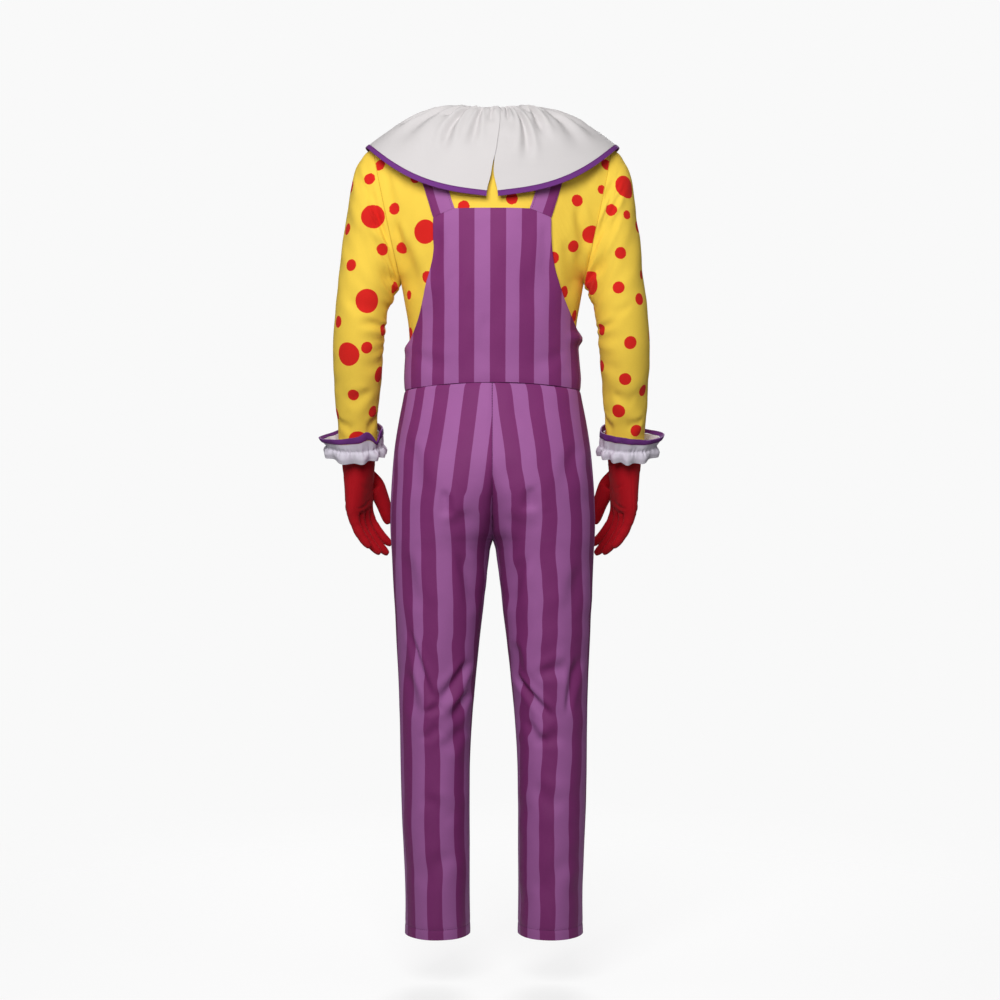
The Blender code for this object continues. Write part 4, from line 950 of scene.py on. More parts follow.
def collar_cloth(u, v):
    """Points of the folded collar and the directions out of it."""
    smooth = collar_surface(u, v)
    out = grid_squares(smooth, wraps=False)
    round_neck = np.where(u < 0.5, u, u - 1) * COLLAR_ROUND
    down = v * COLLAR_WIDE
    calm = soft(v / 0.05) * (1 - 0.92 * soft((v - 0.55) / 0.40))
    sink = CRISPER * fold_depth(COLLAR_FALLS, round_neck, down, around=COLLAR_ROUND) * calm
    sink = sink + ripples(round_neck, down, 0.060, 0.0007, 21) * soft(v / 0.3) * calm
    pleats = PLEATS * 2 * math.pi * u + 1.6 * np.sin(2 * math.pi * 9 * u)
    strong = 0.0011 + 0.0007 * np.sin(2 * math.pi * 13 * u + 1)
    sink = sink + strong * np.cos(pleats) * bell((v - 0.03) / (0.06 + 0.03 * np.sin(40 * u)))
    closed = 1 - soft((v - 0.62) / 0.20)
    left_flap = bell(round_neck / 0.016) * (u < 0.5) * closed
    sink = sink - FLAP * left_flap * soft((v + 0.02) / 0.08)
    moved = smooth - out * sink[..., None]
    moved[..., 0] -= OVERLAP * bell(round_neck / 0.010) * (u < 0.5) * closed
    return moved, out


# %% Make the collar and its binding
split = 0.0008          # the gap between the flaps, as a share of the way round
edge = 1 - BINDING / COLLAR_WIDE
around = np.concatenate([np.linspace(split, 0.02, 12), np.linspace(0.02, 0.98, 340)[1:-1],
                         np.linspace(0.98, 1 - split, 12)])
down = np.concatenate([np.linspace(-COLLAR_STAND, 0.10, 13),
                       np.linspace(0.10, edge - 0.0018, 42)[1:]])
u, v = np.meshgrid(around, down)
outer, out = collar_cloth(u, v)
lay("cape_collar", outer, -1, poplin)
stitch("white", outer[7], out[7])
down = np.linspace(edge, 1, 9)
u, v = np.meshgrid(around, down)
outer, out = collar_cloth(u, v)
puff = (TAPE - CLOTH) / 2 + 0.0006 * np.sin(math.pi * (v - edge) / (1 - edge))
outer = outer + out * puff[..., None]
lay("cape_binding", outer, -1, bias_tape, thickness=TAPE)
stitch("purple", outer[1], out[1])
for piece, node, slot, flat, area in (
        ("cape_collar", "collar", "white_cloth", (1.15, 0.19), 0.165),
        ("cape_binding", "collar_binding", "purple_tape", (1.30, 0.014), None)):
    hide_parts(node)

# %% [markdown]
# ## The wrist frills
# A frill is a strip of poplin, gathered onto the cuff by one line of elastic. Above the
# elastic it stands as a smooth flange with a bound rim, below it falls as a short ruffle
# with a row of small waves. A soft rim is never level: each one tilts towards the outer
# side, stands up a little at the back of the wrist, and the left one is pushed down into a
# notch beside the body.

# %% Sizes of a frill
GATHERS_ALONG, GATHERS = 0.985, 0.45    # place of the gathers on the sleeve, on the strip
FRILL_WAVES = 11
FRILL_SHIFT = {1: 0.0, -1: 0.21}        # turns the waves, so that the two frills differ
FRILL_SEAM, FRILL_GAP = 0.20, 0.016     # shares of the strip: the binding, and a gap
# The rim's shape, left and right, in metres. Turns are in radians, from the wrist's outer
# side over the back.
RIM_TILT, RIM_DIP = {1: 0.0105, -1: 0.0055}, {1: 0.0180, -1: 0.0}
RIM_LIFT, LIFT_TURN, LIFT_WIDTH = {1: 0.0060, -1: 0.0030}, 1.15, 0.75
NOTCH_TURN, NOTCH_WIDTH = 2.47, 0.16
HUMP_TURN, HUMP_WIDTH, HUMP = 2.08, 0.17, 0.30  # beside the notch, as a share of its dip
HEM_LIFT = 0.0050       # how much higher the ruffle's hem lies at the wrist's sides
FRILL = Table(
    "along rise radius out wave sway",
    (0.00, 0.0237, 0.0580, 0.0105, 0.0000, 0.0030),
    (0.17, 0.0160, 0.0560, 0.0090, 0.0010, 0.0022),
    (0.33, 0.0062, 0.0530, 0.0068, 0.0012, 0.0006),
    (0.45, 0.0000, 0.0508, 0.0052, 0.0010, 0.0002),
    (0.58, -0.0048, 0.0540, 0.0050, 0.0020, 0.0006),
    (0.78, -0.0125, 0.0558, 0.0050, 0.0032, 0.0010),
    (1.00, -0.0222, 0.0535, 0.0050, 0.0038, 0.0010),
)
print("the gathers lie about", round(ARM_LENGTH * GATHERS_ALONG, 2), "m down the sleeve")


# %% Where a frill sits
def wrist_frame(side):
    """Middle of the frill's gathers, and its axes: outwards, to the back, up the arm."""
    size = {name: float(SLEEVE.at(name, GATHERS_ALONG)) for name in SLEEVE.names[1:]}
    x = (size["outer"] + size["inner"]) / 2 + ARM_SPREAD[side]
    drop = (size["outer_drop"] + size["inner_drop"]) / 2
    middle = np.array((side * x, size["mid"], -drop))
    out = np.array((side, 0, 0.0))
    back = np.array((0, math.cos(size["lean"]), -math.sin(size["lean"])))
    up = np.array((0, math.sin(size["lean"]), math.cos(size["lean"])))
    return middle, out, back, up


# %% The frill's surface
def frill_surface(side):
    """u round the wrist from its outer side over the back; v from the rim to the hem."""
    middle, out, back, up = wrist_frame(side)
    shift = FRILL_SHIFT[side]

    def surface(u, v):
        turn = u * 2 * math.pi
        uneven = turn + 0.16 * np.sin(2 * turn + 1 + 5 * shift) + shift
        wave = np.cos(FRILL_WAVES * uneven) * FRILL.at("wave", v)
        sway = np.cos(3 * turn - 0.6 + 3 * shift) * FRILL.at("sway", v)
        pleat = np.cos(34 * turn + 1.9 * np.sin(5 * turn)) + 0.5 * np.cos(57 * turn)
        pleat = 0.0010 * pleat * bell((v - GATHERS - 0.06) / 0.15)
        radius = FRILL.at("radius", v) + wave + sway + pleat
        rise = FRILL.at("rise", v) + 0.7 * sway - 0.3 * wave * (v > GATHERS)
        rise = rise + HEM_LIFT * np.abs(np.cos(turn)) ** 1.3 * soft((v - GATHERS) / 0.55)
        rim, place = soft(1 - v / GATHERS), np.mod(turn, 2 * math.pi)
        notch = bell((place - NOTCH_TURN) / NOTCH_WIDTH)
        hump = HUMP * bell((place - HUMP_TURN) / HUMP_WIDTH)
        lift = RIM_LIFT[side] * bell((place - LIFT_TURN) / LIFT_WIDTH)
        tilt = RIM_TILT[side] * np.cos(turn)
        rise = rise - rim * (tilt + RIM_DIP[side] * (notch - hump) - lift)
        reach = radius * np.cos(turn) + FRILL.at("out", v)
        return (middle + reach[..., None] * out
                + (radius * np.sin(turn))[..., None] * back + rise[..., None] * up)

    return surface


# %% Make the frills and their bindings
around = 0.5 + np.arange(264) / 264
for name, side in SIDES.items():
    surface = frill_surface(side)
    u, v = np.meshgrid(around, np.linspace(FRILL_SEAM + FRILL_GAP, 1, 40))
    outer, out = lay(f"wrist_frill_{name}", surface(u, v), side, frill_poplin, wraps=True)
    stitch("white", outer[-4], out[-4])
    u, v = np.meshgrid(around, np.linspace(0, FRILL_SEAM, 8))
    outer = surface(u, v)
    puff = (TAPE - CLOTH) / 2 + 0.0005 * np.sin(math.pi * v / FRILL_SEAM)
    outer = outer - grid_squares(outer, True) * side * puff[..., None]
    outer, out = lay(f"frill_edging_{name}", outer, side, bias_tape, thickness=TAPE, wraps=True)
    stitch("purple", outer[-2], out[-2])
    for piece, node, slot, flat, held in (
            ("wrist_frill", "frill", "white_cloth", (0.42, 0.042), "gathered"),
            ("frill_edging", "frill_binding", "purple_tape", (0.38, 0.013), "folded")):
        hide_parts(f"{node}_{name}")

# %% [markdown]
# ## The dungarees' legs
# Each leg is a back and a front panel, joined at the side and inner seams. Above the
# crotch the inner edge of each panel is the centre seam. Loose trousers fold under the
# seat, behind the knees and above the hem. The stripes follow the grain of each panel:
# a table says where one stripe's edge runs down the body, and every other stripe is
# measured from there along the cloth.

# %% Sizes of the legs
WAIST, CROTCH, HEM = 0.5000, 0.7780, 1.4830     # drops
LEG_SWAY = -0.0027      # how far the hems stand to the wearer's right
WAIST_DIP = 0.0100      # how much lower the waist seam is at the sides
LEGS = Table("drop outer inner back front side_seam", *from_mm(
    (500, 156, 0, 89, -105, 0), (530, 161.5, 0, 97, -108, 1), (563, 168, 0, 108, -109.5, 3),
    (600, 174, 0, 120, -110, 5), (640, 178.5, 0, 128, -110, 6),
    (680, 181.5, 0, 127.5, -108.5, 6), (725, 183.5, 0, 119, -106.5, 5),
    (778, 183, 0, 107.5, -103.5, 3), (793, 182, 6, 104.5, -102, 2),
    (812, 181, 9.8, 102, -100, 2), (850, 179, 13, 97, -96.5, 1), (887, 177, 15.5, 93, -93, 1),
    (959, 174, 24, 85, -87, 0), (1031, 170.5, 31.5, 78, -82, 0), (1103, 168.5, 38, 73, -77, 0),
    (1175, 167.5, 42, 73, -72, 1), (1247, 166, 43, 74, -69, 2), (1337, 162, 43, 74, -67, 3),
    (1427, 159, 43, 74, -66, 4), (1483, 160, 42, 76, -67, 4),
))
print("the inside leg is", round(HEM - CROTCH, 3), "m long")


# %% The surface of a leg
CROTCH_ROUNDS = 1.6     # the middle of a leg moves outwards this steeply towards the crotch


def leg_surface(side, face):
    """u from the side seam, 0, round the back or front to the centre or inner seam, 1;
    v is the drop."""
    column = "back" if face > 0 else "front"

    def surface(u, v):
        outer, inner = LEGS.at("outer", v), LEGS.at("inner", v)
        seam = LEGS.at("side_seam", v)
        depth = np.abs(LEGS.at(column, v) - seam)
        share = np.clip((v - WAIST) / (CROTCH - WAIST), 1e-6, 1)
        middle = (outer + np.clip(inner, 0, None)) / 2 * share ** CROTCH_ROUNDS
        middle = np.where(v > CROTCH, (outer + inner) / 2, middle)
        reach = np.sqrt(1 - share ** 5)
        last = math.pi - np.arcsin(np.where(v > CROTCH, 0.0, reach))
        turn = u * last
        most_in = np.maximum(np.abs(np.cos(last)), 1e-9)
        inside = (middle - np.where(v > CROTCH, inner, 0)) * np.abs(np.cos(turn)) / most_in
        x = middle + np.where(np.cos(turn) > 0, (outer - middle) * np.cos(turn), -inside)
        sway = LEG_SWAY * soft((v - WAIST) / (HEM - WAIST))
        return points(side * (x + SEAM / 2) + sway,
                      seam + face * (depth * np.sin(turn) + SEAM / 2), -v)

    return surface


# %% Grain of the legs
# How far from the middle the edge between two stripes runs, down the body.
GRAIN = Table("drop left right front", *from_mm(
    (500, 48, 32, 44), (629, 62.9, 49.2, 56), (733, 74.5, 59.5, 66), (780, 71.2, 57.3, 65),
    (882, 69.2, 62.2, 64), (1006, 66, 60, 63), (1130, 67.8, 65.1, 63), (1236, 67.6, 61.5, 61),
    (1412, 64, 62.5, 60), (1483, 62.5, 62.6, 60),
))
hem_width = float(LEGS.at("outer", HEM) - LEGS.at("inner", HEM))
print("the hem is", round(1000 * hem_width), "mm wide,", round(hem_width / STRIPE, 1), "stripes")

# %% Folds of the legs
# For each leg and face: start x and drop, end x and drop, half width, depth, bow, in
# millimetres.
LEG_FOLDS = {
    (1, 1): from_mm(
        (146, 935, 105, 1058, 6, 4.2, -4), (118, 1084, 90, 1068, 7, 3, 0),
        (43, 992, 94, 1064, 8.5, 5.2, 3), (42, 1048, 70, 1098, 8, 3.8, -2),
        (122, 1132, 88, 1108, 10, 2.6, 2), (52, 1110, 90, 1148, 12, 2.6, 3),
        (80, 756, 20, 738, 15, 1.8, 4), (84, 690, 78, 736, 10, 3.4, 0),
        (60, 800, 30, 900, 12, 3.6, 4), (150, 600, 128, 700, 15, 2, 4),
        (150, 800, 132, 900, 14, 2.4, -4), (120, 1230, 70, 1280, 16, 2, 4),
        (70, 1330, 128, 1390, 18, 2, -6), (150, 1010, 136, 1090, 10, 3, 0),
    ),
    (-1, 1): from_mm(
        (-40, 1016, -106, 1092, 6.5, 5.2, -3), (-80, 1014, -140, 1004, 12, 3.4, 3),
        (-134, 1082, -154, 986, 7, 4, 4), (-84, 1136, -120, 1122, 11, 2.8, 2),
        (-62, 1096, -90, 1142, 9, 2.8, -2), (-40, 960, -46, 1020, 9, 2.8, 0),
        (-18, 738, -84, 756, 15, 1.6, -4), (-68, 684, -66, 726, 11, 3.2, 0),
        (-58, 806, -28, 900, 12, 3.4, -4), (-150, 610, -126, 700, 15, 2, -4),
        (-152, 820, -130, 910, 14, 2.2, 4), (-70, 1210, -124, 1250, 16, 2, -4),
        (-130, 1340, -72, 1400, 18, 2, 6),
    ),
    (1, -1): from_mm(
        (30, 740, 120, 700, 13, 3.6, -6), (36, 800, 100, 770, 12, 3.2, 4),
        (50, 560, 70, 640, 14, 2.2, 4), (60, 1050, 130, 1020, 12, 3.4, 4),
        (56, 1110, 120, 1130, 12, 3.4, -4), (150, 1160, 90, 1190, 14, 2.6, 4),
        (130, 880, 100, 980, 16, 2.2, 4), (70, 1290, 120, 1330, 16, 2.2, 4),
        (130, 1390, 70, 1420, 16, 2.4, -4),
    ),
    (-1, -1): from_mm(
        (-26, 734, -114, 706, 13, 3.6, 6), (-34, 806, -104, 766, 12, 3.2, -4),
        (-60, 570, -78, 650, 14, 2.2, -4), (-56, 1040, -128, 1034, 12, 3.4, 4),
        (-60, 1120, -124, 1104, 12, 3.4, 4), (-148, 1170, -88, 1180, 14, 2.6, -4),
        (-134, 900, -98, 960, 16, 2.2, -4), (-76, 1280, -126, 1320, 16, 2.2, -4),
        (-124, 1400, -66, 1410, 16, 2.4, 4),
    ),
}
print("folds on the leg panels:", [len(rows) for rows in LEG_FOLDS.values()])

# %% How folds move the stripes
# Where a fold takes up cloth, or the seat pulls at it, the stripes are drawn aside: x and
# drop, how far round and down it reaches, and by how much, inwards, in millimetres.
DRIFTS = {
    (1, 1): from_mm(
        (150, 520, 30, 80, 17), (170, 740, 30, 120, 10), (180, 710, 16, 160, 15),
        (145, 625, 45, 60, -8), (152, 948, 16, 62, 20), (90, 1000, 20, 40, 3),
        (60, 1060, 16, 30, -4),
    ),
    (-1, 1): from_mm(
        (-120, 1060, 18, 45, 4), (-60, 1030, 14, 35, -4), (-152, 1060, 12, 60, -5),
    ),
}


def drawn_aside(rows, x, drop):
    """Metres that the stripes shift inwards at points of a leg."""
    shift = np.zeros_like(x)
    for at, level, wide, tall, amount in rows:
        shift = shift + amount * bell((x - at) / wide) * bell((drop - level) / tall)
    return shift


# %% How far a leg's cloth sinks
HEM_FOLD = 0.018        # the hem is turned up this far and sewn
CENTRE_VALLEY = 0.0130  # the centre seam pulls in this far, from below the shirt's hem
VALLEY_TOP = 0.635
THIGH_FILL = 0.0040     # the cloth stands out this far at the top of the inner seam
THIGH_DROP = 0.815
DEEP_SEAM = 0.0014      # a twill seam is thicker, so the cloth rolls down further


def leg_sink(side, face, x, drop, v, across):
    """Metres that a panel sinks: folds, ripples, seams and the sewn hem. across is how far
    each point lies from the side seam."""
    inner_seam = across[:, -1:] - across
    seam_in = np.minimum(across, inner_seam)
    sink = CRISPER * fold_depth(LEG_FOLDS[side, face], x, drop) * soft(seam_in / 0.02 + 0.1)
    waves = ripples(x, drop, 0.085, 0.0008, 31 + side + 3 * face)
    sink = (sink + waves * soft(seam_in / 0.03)) * soft((v - WAIST) / 0.02)
    sink = sink + beside_seam(across, DEEP_SEAM) + beside_seam(v - WAIST, DEEP_SEAM)
    sink = sink + 0.0007 * bell((v - HEM + HEM_FOLD) / 0.0022)
    sink = sink + beside_seam(inner_seam, DEEP_SEAM) * (v >= CROTCH)
    return sink - THIGH_FILL * bell((v - THIGH_DROP) / 0.032) * np.exp(-inner_seam / 0.030)


def centre_valley(v, inner_seam):
    """Metres that the cloth is drawn in at the centre seam, above the crotch."""
    near_crotch = soft((CROTCH - v) / 0.03)
    valley = CENTRE_VALLEY * soft((v - VALLEY_TOP) / 0.09) * near_crotch
    valley = valley * np.exp(-inner_seam / 0.010)
    return (valley + beside_seam(inner_seam, DEEP_SEAM) * near_crotch) * (v < CROTCH)


# %% Make the legs
around = np.concatenate([[0, 0.006, 0.014, 0.026], np.linspace(0.042, 0.958, 46),
                         [0.974, 0.986, 0.994, 1]])
hem_rows = [HEM - HEM_FOLD - 0.002, HEM - HEM_FOLD, HEM - HEM_FOLD + 0.002]
down = np.concatenate([WAIST + SEAM + np.array((0, 0.0015, 0.004)),
                       np.linspace(WAIST + 0.008, HEM - HEM_FOLD - 0.006, 214), hem_rows,
                       np.linspace(HEM - HEM_FOLD + 0.006, HEM, 4)])
for face_name, face in FACES.items():
    for side_name, side in SIDES.items():
        surface = leg_surface(side, face)
        u, v = np.meshgrid(around, down)
        dip = WAIST_DIP * np.cos(u * math.pi / 2) ** 2 * soft((WAIST + 0.07 - v) / 0.07)
        smooth = surface(u, v + dip)
        out = grid_squares(smooth, wraps=False) * -side * face
        x, drop = smooth[..., 0], -smooth[..., 2]
        across, _ = arc_lengths(smooth, wraps=False)
        outer = smooth - out * leg_sink(side, face, x, drop, v, across)[..., None]
        outer[..., 1] -= face * centre_valley(v, across[:, -1:] - across)
        grain = GRAIN.at(side_name if face > 0 else "front", down)
        grain_at = [np.interp(-mark, -side * row, far) for mark, row, far in
                    zip(grain, smooth[..., 0], across)]
        name = f"{face_name}_{side_name}"
        aside = drawn_aside(DRIFTS.get((side, face), ()), x, drop)
        outer, out = lay(f"trouser_{name}", outer, side * face, twill, along=-1,
                         across_from=np.array(grain_at)[:, None] + aside)
        stitch("purple", outer[-6], out[-6])
        if side > 0:
            seam, lift = outer[down < CROTCH, -1], out[down < CROTCH, -1]
            stitch("purple", seam - lift * 0.0008, lift, **IN_SEAM)
        piece = made[f"trouser_{name}"]
        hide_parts(f"leg_{name}")

# %% [markdown]
# ## Bibs and straps
# The bibs lie on the shirt, so their points are the shirt's own points, moved out by the
# distance between two cloths. The folds under them show through a little. The edges of a
# bib curve in below the arms and come out to a small corner at the side seam, where the
# turned edge stands off as a knob. The straps run over the shoulders from bib to bib.

# %% Sizes of the bibs
SIDE_TOP = 0.4200       # drop where the bibs reach the side seams
BIB_TOP = {1: 0.1990, -1: 0.2120}       # drop of the top edge, back and front
BIB_SLANT = 0.38        # the top edge falls this steeply under the straps
BIB_SAG = {1: 0.0280, -1: 0.0}          # how much lower the sides hang, left and right
CORNER_DROP = {1: 0.4340, -1: 0.4180}   # where they meet the side seams
CORNER_FLARE = {1: 0.0030, -1: 0.0080}  # and how far they stand out there
CORNER_TALL = 0.009
# Half width of each bib down its edge.
BIB_BACK = Table("drop half", *from_mm(
    (199, 101), (230, 101), (275, 104), (318, 112), (355, 125), (390, 141), (420, 156),
))
BIB_FRONT = Table("drop half", *from_mm(
    (212, 98), (240, 98), (285, 102), (325, 112), (360, 125), (392, 141), (420, 156),
))
STRAP = 0.0400          # width of a strap
STRAP_INNER = 0.0650    # where its inner edge meets the bib's top edge, from the middle
STRAP_SHOULDER = 0.1380 # its middle on the shoulder seam
STRAP_BOW = 0.055       # how far it bows outwards between them, as a share of the shirt
print("the back bib is", round(WAIST - BIB_TOP[1], 3), "m high")


# %% A bib's place on the shirt
def bib_on_shirt(face, u, v):
    """The shirt's u, v under a point of the bib: u from the right edge, -1, to the left, 1;
    v is the drop at the centre."""
    table = BIB_BACK if face > 0 else BIB_FRONT
    side = TORSO.at("side", v)
    sag = np.where(u > 0, BIB_SAG[1], BIB_SAG[-1]) * soft((v - 0.30) / 0.12)
    half = np.minimum(table.at("half", v - sag), side)
    across = half * np.sin(u * math.pi / 2)
    slant = BIB_SLANT * np.clip(np.abs(across) - STRAP_INNER, 0, None)
    level = np.clip((ARMHOLE_DROP - v) / (ARMHOLE_DROP - BIB_TOP[face]), 0, 1)
    dip = WAIST_DIP * (across / side) ** 2 * soft((v - WAIST + 0.07) / 0.07)
    drop = v + slant * level + dip
    found_u, found_v = find_on_shirt(face, across, drop)
    below = v > ARMHOLE_DROP + 0.03
    found_u = np.where(below, np.arcsin(np.clip(across / side, -1, 1)) * 2 / math.pi, found_u)
    found_v = np.where(below, (drop - SHIRT_HEM) / (ARMHOLE_DROP - SHIRT_HEM), found_v)
    return found_u, found_v


def corner_flare(on_bib):
    """How far each point of a bib stands out sideways beside the top of its side seam."""
    x, drop = on_bib[..., 0], -on_bib[..., 2]
    corner = np.where(x > 0, CORNER_DROP[1], CORNER_DROP[-1])
    out = bell((drop - corner) / CORNER_TALL) * soft((np.abs(x) - 0.125) / 0.025)
    return points(out * np.where(x > 0, CORNER_FLARE[1], -CORNER_FLARE[-1]), 0, 0)


# %% Folds of the bibs
# Start x and drop, end x and drop, half width, depth, bow: millimetres on the body.
BIB_FOLDS = {
    1: from_mm(
        (92, 225, 104, 330, 12, 1.8, 3), (-90, 225, -98, 320, 11, 1.8, -3),
        (60, 300, 110, 400, 16, 2, 6), (-50, 310, -116, 405, 16, 2, -6),
        (10, 380, 24, 470, 14, 1.4, 0), (-126, 440, -70, 470, 12, 1.6, 3),
        (132, 446, 80, 474, 12, 1.8, -3),
    ),
    -1: from_mm(
        (90, 235, 98, 330, 12, 1.8, -3), (-88, 235, -100, 330, 12, 1.8, 3),
        (40, 330, 110, 410, 16, 2, 6), (-46, 330, -108, 415, 16, 2, -6),
        (120, 450, 70, 476, 12, 1.6, 3), (-124, 446, -76, 478, 12, 1.6, -3),
    ),
}
print("folds on the bibs:", [len(rows) for rows in BIB_FOLDS.values()])

# %% Stripes of the bibs
BIB_STRIPE = {1: 0.0012, -1: 0.0138}    # where a light stripe starts, left of the middle


def bib_drift(x, drop):
    """Metres that the stripes are drawn to the right where the bib is stretched sideways."""
    left = 0.0115 * soft((x - 0.075) / 0.07) * soft((drop - 0.31) / 0.05)
    right = 0.0040 * soft((-x - 0.02) / 0.03) + 0.0050 * soft((-x - 0.10) / 0.05)
    return right * soft((drop - 0.24) / 0.08) - left


# %% How far a bib stands off the shirt
BIB_CLEAR = 0.0012      # room for its own folds over the shirt's
BIB_NEAREST = 0.0005    # how much nearer than usual a fold may bring it


def bib_lift(face, u, v, x, drop):
    """Metres from the shirt's outer face to the bib's outer face."""
    sink = fold_depth(BIB_FOLDS[face], x, drop) + ripples(x, drop, 0.07, 0.0005, 51 + face)
    calm = soft((v - BIB_TOP[face]) / 0.02) * soft((1 - np.abs(u)) / 0.06)
    calm = calm * soft((WAIST - v) / 0.02)
    lift = np.maximum(LAYER + CLOTH + BIB_CLEAR * calm - sink * calm,
                      LAYER + CLOTH - BIB_NEAREST)
    return lift - beside_seam(WAIST - v, 0.0010) * (v > SIDE_TOP)


# %% Make the bibs
across = np.concatenate([[-1, -0.985, -0.965], np.linspace(-0.94, 0.94, 74),
                         [0.965, 0.985, 1]])
for name, face in FACES.items():
    down = np.concatenate([BIB_TOP[face] + np.array((0, 0.002, 0.005)),
                           np.linspace(BIB_TOP[face] + 0.008, WAIST - 0.008, 76),
                           WAIST - SEAM - np.array((0.004, 0.0015, 0))])
    u, v = np.meshgrid(across, down)
    found_u, found_v = bib_on_shirt(face, u, v)
    under, out = shirt_cloth(face, found_u, found_v)
    lift = bib_lift(face, u, v, under[..., 0], -under[..., 2])
    outer = under + out * lift[..., None]
    outer = outer + corner_flare(outer)
    rows_across, _ = arc_lengths(outer, wraps=False)
    middle = rows_across[:, len(across) // 2][:, None]
    aside = bib_drift(outer[..., 0], -outer[..., 2]) * (face > 0)
    lay(f"bib_cloth_{name}", outer, face, twill, along=1,
        across_from=middle + BIB_STRIPE[face] + aside)
    outer_squares = grid_squares(outer, wraps=False) * -face
    for column in (3, -4):
        stitch("purple", outer[:-12, column], outer_squares[:-12, column])
    stitch("purple", outer[3], outer_squares[3])
    stitch("purple", outer[-1] - outer_squares[-1] * 0.0008, outer_squares[-1], **IN_SEAM)
    piece = made[f"bib_cloth_{name}"]
    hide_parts(f"bib_{name}")


# %% A strap's place on the shirt
def strap_half(side, face, rows, columns):
    """Points of the shirt under one half of a strap, bib to shoulder, and the directions
    out of it. The first column is the strap's inner edge."""
    share = np.linspace(0, 1, rows)
    lines, squares = [], []
    for reach in np.linspace(0, 1, columns):
        foot = STRAP_INNER + STRAP * reach * math.cos(math.atan(BIB_SLANT))
        foot_drop = BIB_TOP[face] + BIB_SLANT * (foot - STRAP_INNER) - 2 * SEAM
        foot_u, foot_v = find_on_shirt(face, np.array(side * foot), np.array(foot_drop))
        top = STRAP_SHOULDER + STRAP * (reach - 0.5)
        run = (top - NECK_HALF) / (SHOULDER - NECK_HALF)
        top_u = side * (NECK_SHARE + (1 - NECK_SHARE) * run)
        u = foot_u + (top_u - foot_u) * share + side * STRAP_BOW * 4 * share * (1 - share)
        v = foot_v + (2 - foot_v) * share
        line, square = shirt_cloth(face, u, v)
        lines.append(line)
        squares.append(square)
    return np.stack(lines, 1), np.stack(squares, 1)


# %% Make the straps
STRAP_DARK = {1: 0.0135, -1: 0.0160}    # width of the dark stripe at the outer edge
STRAP_CROWN = 0.0004    # its middle is this much fuller than its edges
for name, side in SIDES.items():
    back, back_out = strap_half(side, 1, 46, 13)
    front, front_out = strap_half(side, -1, 46, 13)
    top, top_out = (back[-1:] + front[-1:]) / 2, unit(back_out[-1:] + front_out[-1:])
    outer = np.concatenate([back[:-1], top, front[-2::-1]])
    out = np.concatenate([back_out[:-1], top_out, front_out[-2::-1]])
    edge = np.abs(np.linspace(-1, 1, 13))[None, :]
    outer = outer + out * (LAYER + CLOTH + STRAP_CROWN * (1 - edge ** 4))[..., None]
    outer, out = lay(f"shoulder_strap_{name}", outer, side, twill, along=1,
                     across_from=STRAP - STRAP_DARK[side] - STRIPE)
    for column in (1, -2):
        stitch("purple", outer[:, column], out[:, column])
    piece = made[f"shoulder_strap_{name}"]
    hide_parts(f"strap_{name}")

# %% [markdown]
# ## The gloves
# Stretch gloves have no flat pattern that shows: the knit takes the form of the hand. So
# they start as a coarse cage of rings, which a Subdivision Surface rounds. The fine mesh
# that it gives is read back, so that folds can be pressed in: small gathers at the wrist,
# creases across the knuckles and at the roots of the fingers, and a seam down the edge.

# %% Sizes of the hand
# Fingers from the little to the index: width and length, how far its knuckle lies down the
# hand, and how much it curls beside the others.
FINGERS = Table(
    "place width length knuckle curl",
    (0, 0.0188, 0.074, 0.115, 0.84),
    (1, 0.0201, 0.089, 0.122, 0.93),
    (2, 0.0205, 0.096, 0.125, 1.00),
    (3, 0.0201, 0.087, 0.122, 1.06),
)
# Half width and half thickness of the glove down the hand.
PALM = Table("down half thick", *from_mm(
    (-7, 32.8, 32.8), (14, 31.8, 31.2), (42, 33, 27.5), (70, 38, 21.5), (98, 43.2, 18.2),
    (111, 43.4, 16.5),
))
THUMB = Table(
    "along down across palmar radius",
    (0.0, 0.052, 0.032, 0.003, 0.0200),
    (0.15, 0.073, 0.039, 0.013, 0.0205),
    (0.3, 0.096, 0.044, 0.021, 0.0168),
    (0.6, 0.118, 0.048, 0.029, 0.0145),
    (0.9, 0.142, 0.048, 0.035, 0.0118),
    (1.0, 0.153, 0.048, 0.037, 0.0056),
)
WRIST = (0.2420, -0.0478, -0.6125)
HAND_LEAN, HAND_TURN = math.radians(15), math.radians(20)
FINGER_PITCH, FINGER_DEEP = 0.0214, 1.10
FINGER_CURL = (14, 22, 34, 46, 54)      # degrees towards the palm along a finger
FINGER_ROWS = (0.10, 0.34, 0.60, 0.84, 0.97)
FINGER_TAPER = (1.00, 0.99, 0.93, 0.80, 0.48)
THUMB_ROWS = (0.15, 0.3, 0.6, 0.9, 1.0)
WEB = 0.011             # how far a web lies down from the palm's last ring
print("fingers:", len(FINGERS.rows), "the longest", FINGERS.rows[:, 2].max(), "m")


# %% Points and quads of a cage
class Cage:
    """Points and quads of a glove, in the hand's own sizes: down the hand, across it
    towards the thumb's side, and towards the palm."""

    def __init__(self):
        self.points, self.faces = [], []

    def add_ring(self, ring):
        """Stores a ring of points and returns their numbers."""
        start = len(self.points)
        self.points += [tuple(point) for point in ring]
        return list(range(start, len(self.points)))

    def join(self, upper, lower):
        """Quads between two rings of equal length."""
        for i in range(len(upper)):
            j = (i + 1) % len(upper)
            self.faces.append((upper[i], upper[j], lower[j], lower[i]))

    def cap(self, ring):
        """Closes a ring of eight."""
        a, b, c, d, e, f, g, h = ring
        self.faces += [(a, b, c, d), (a, d, e, h), (e, f, g, h)]


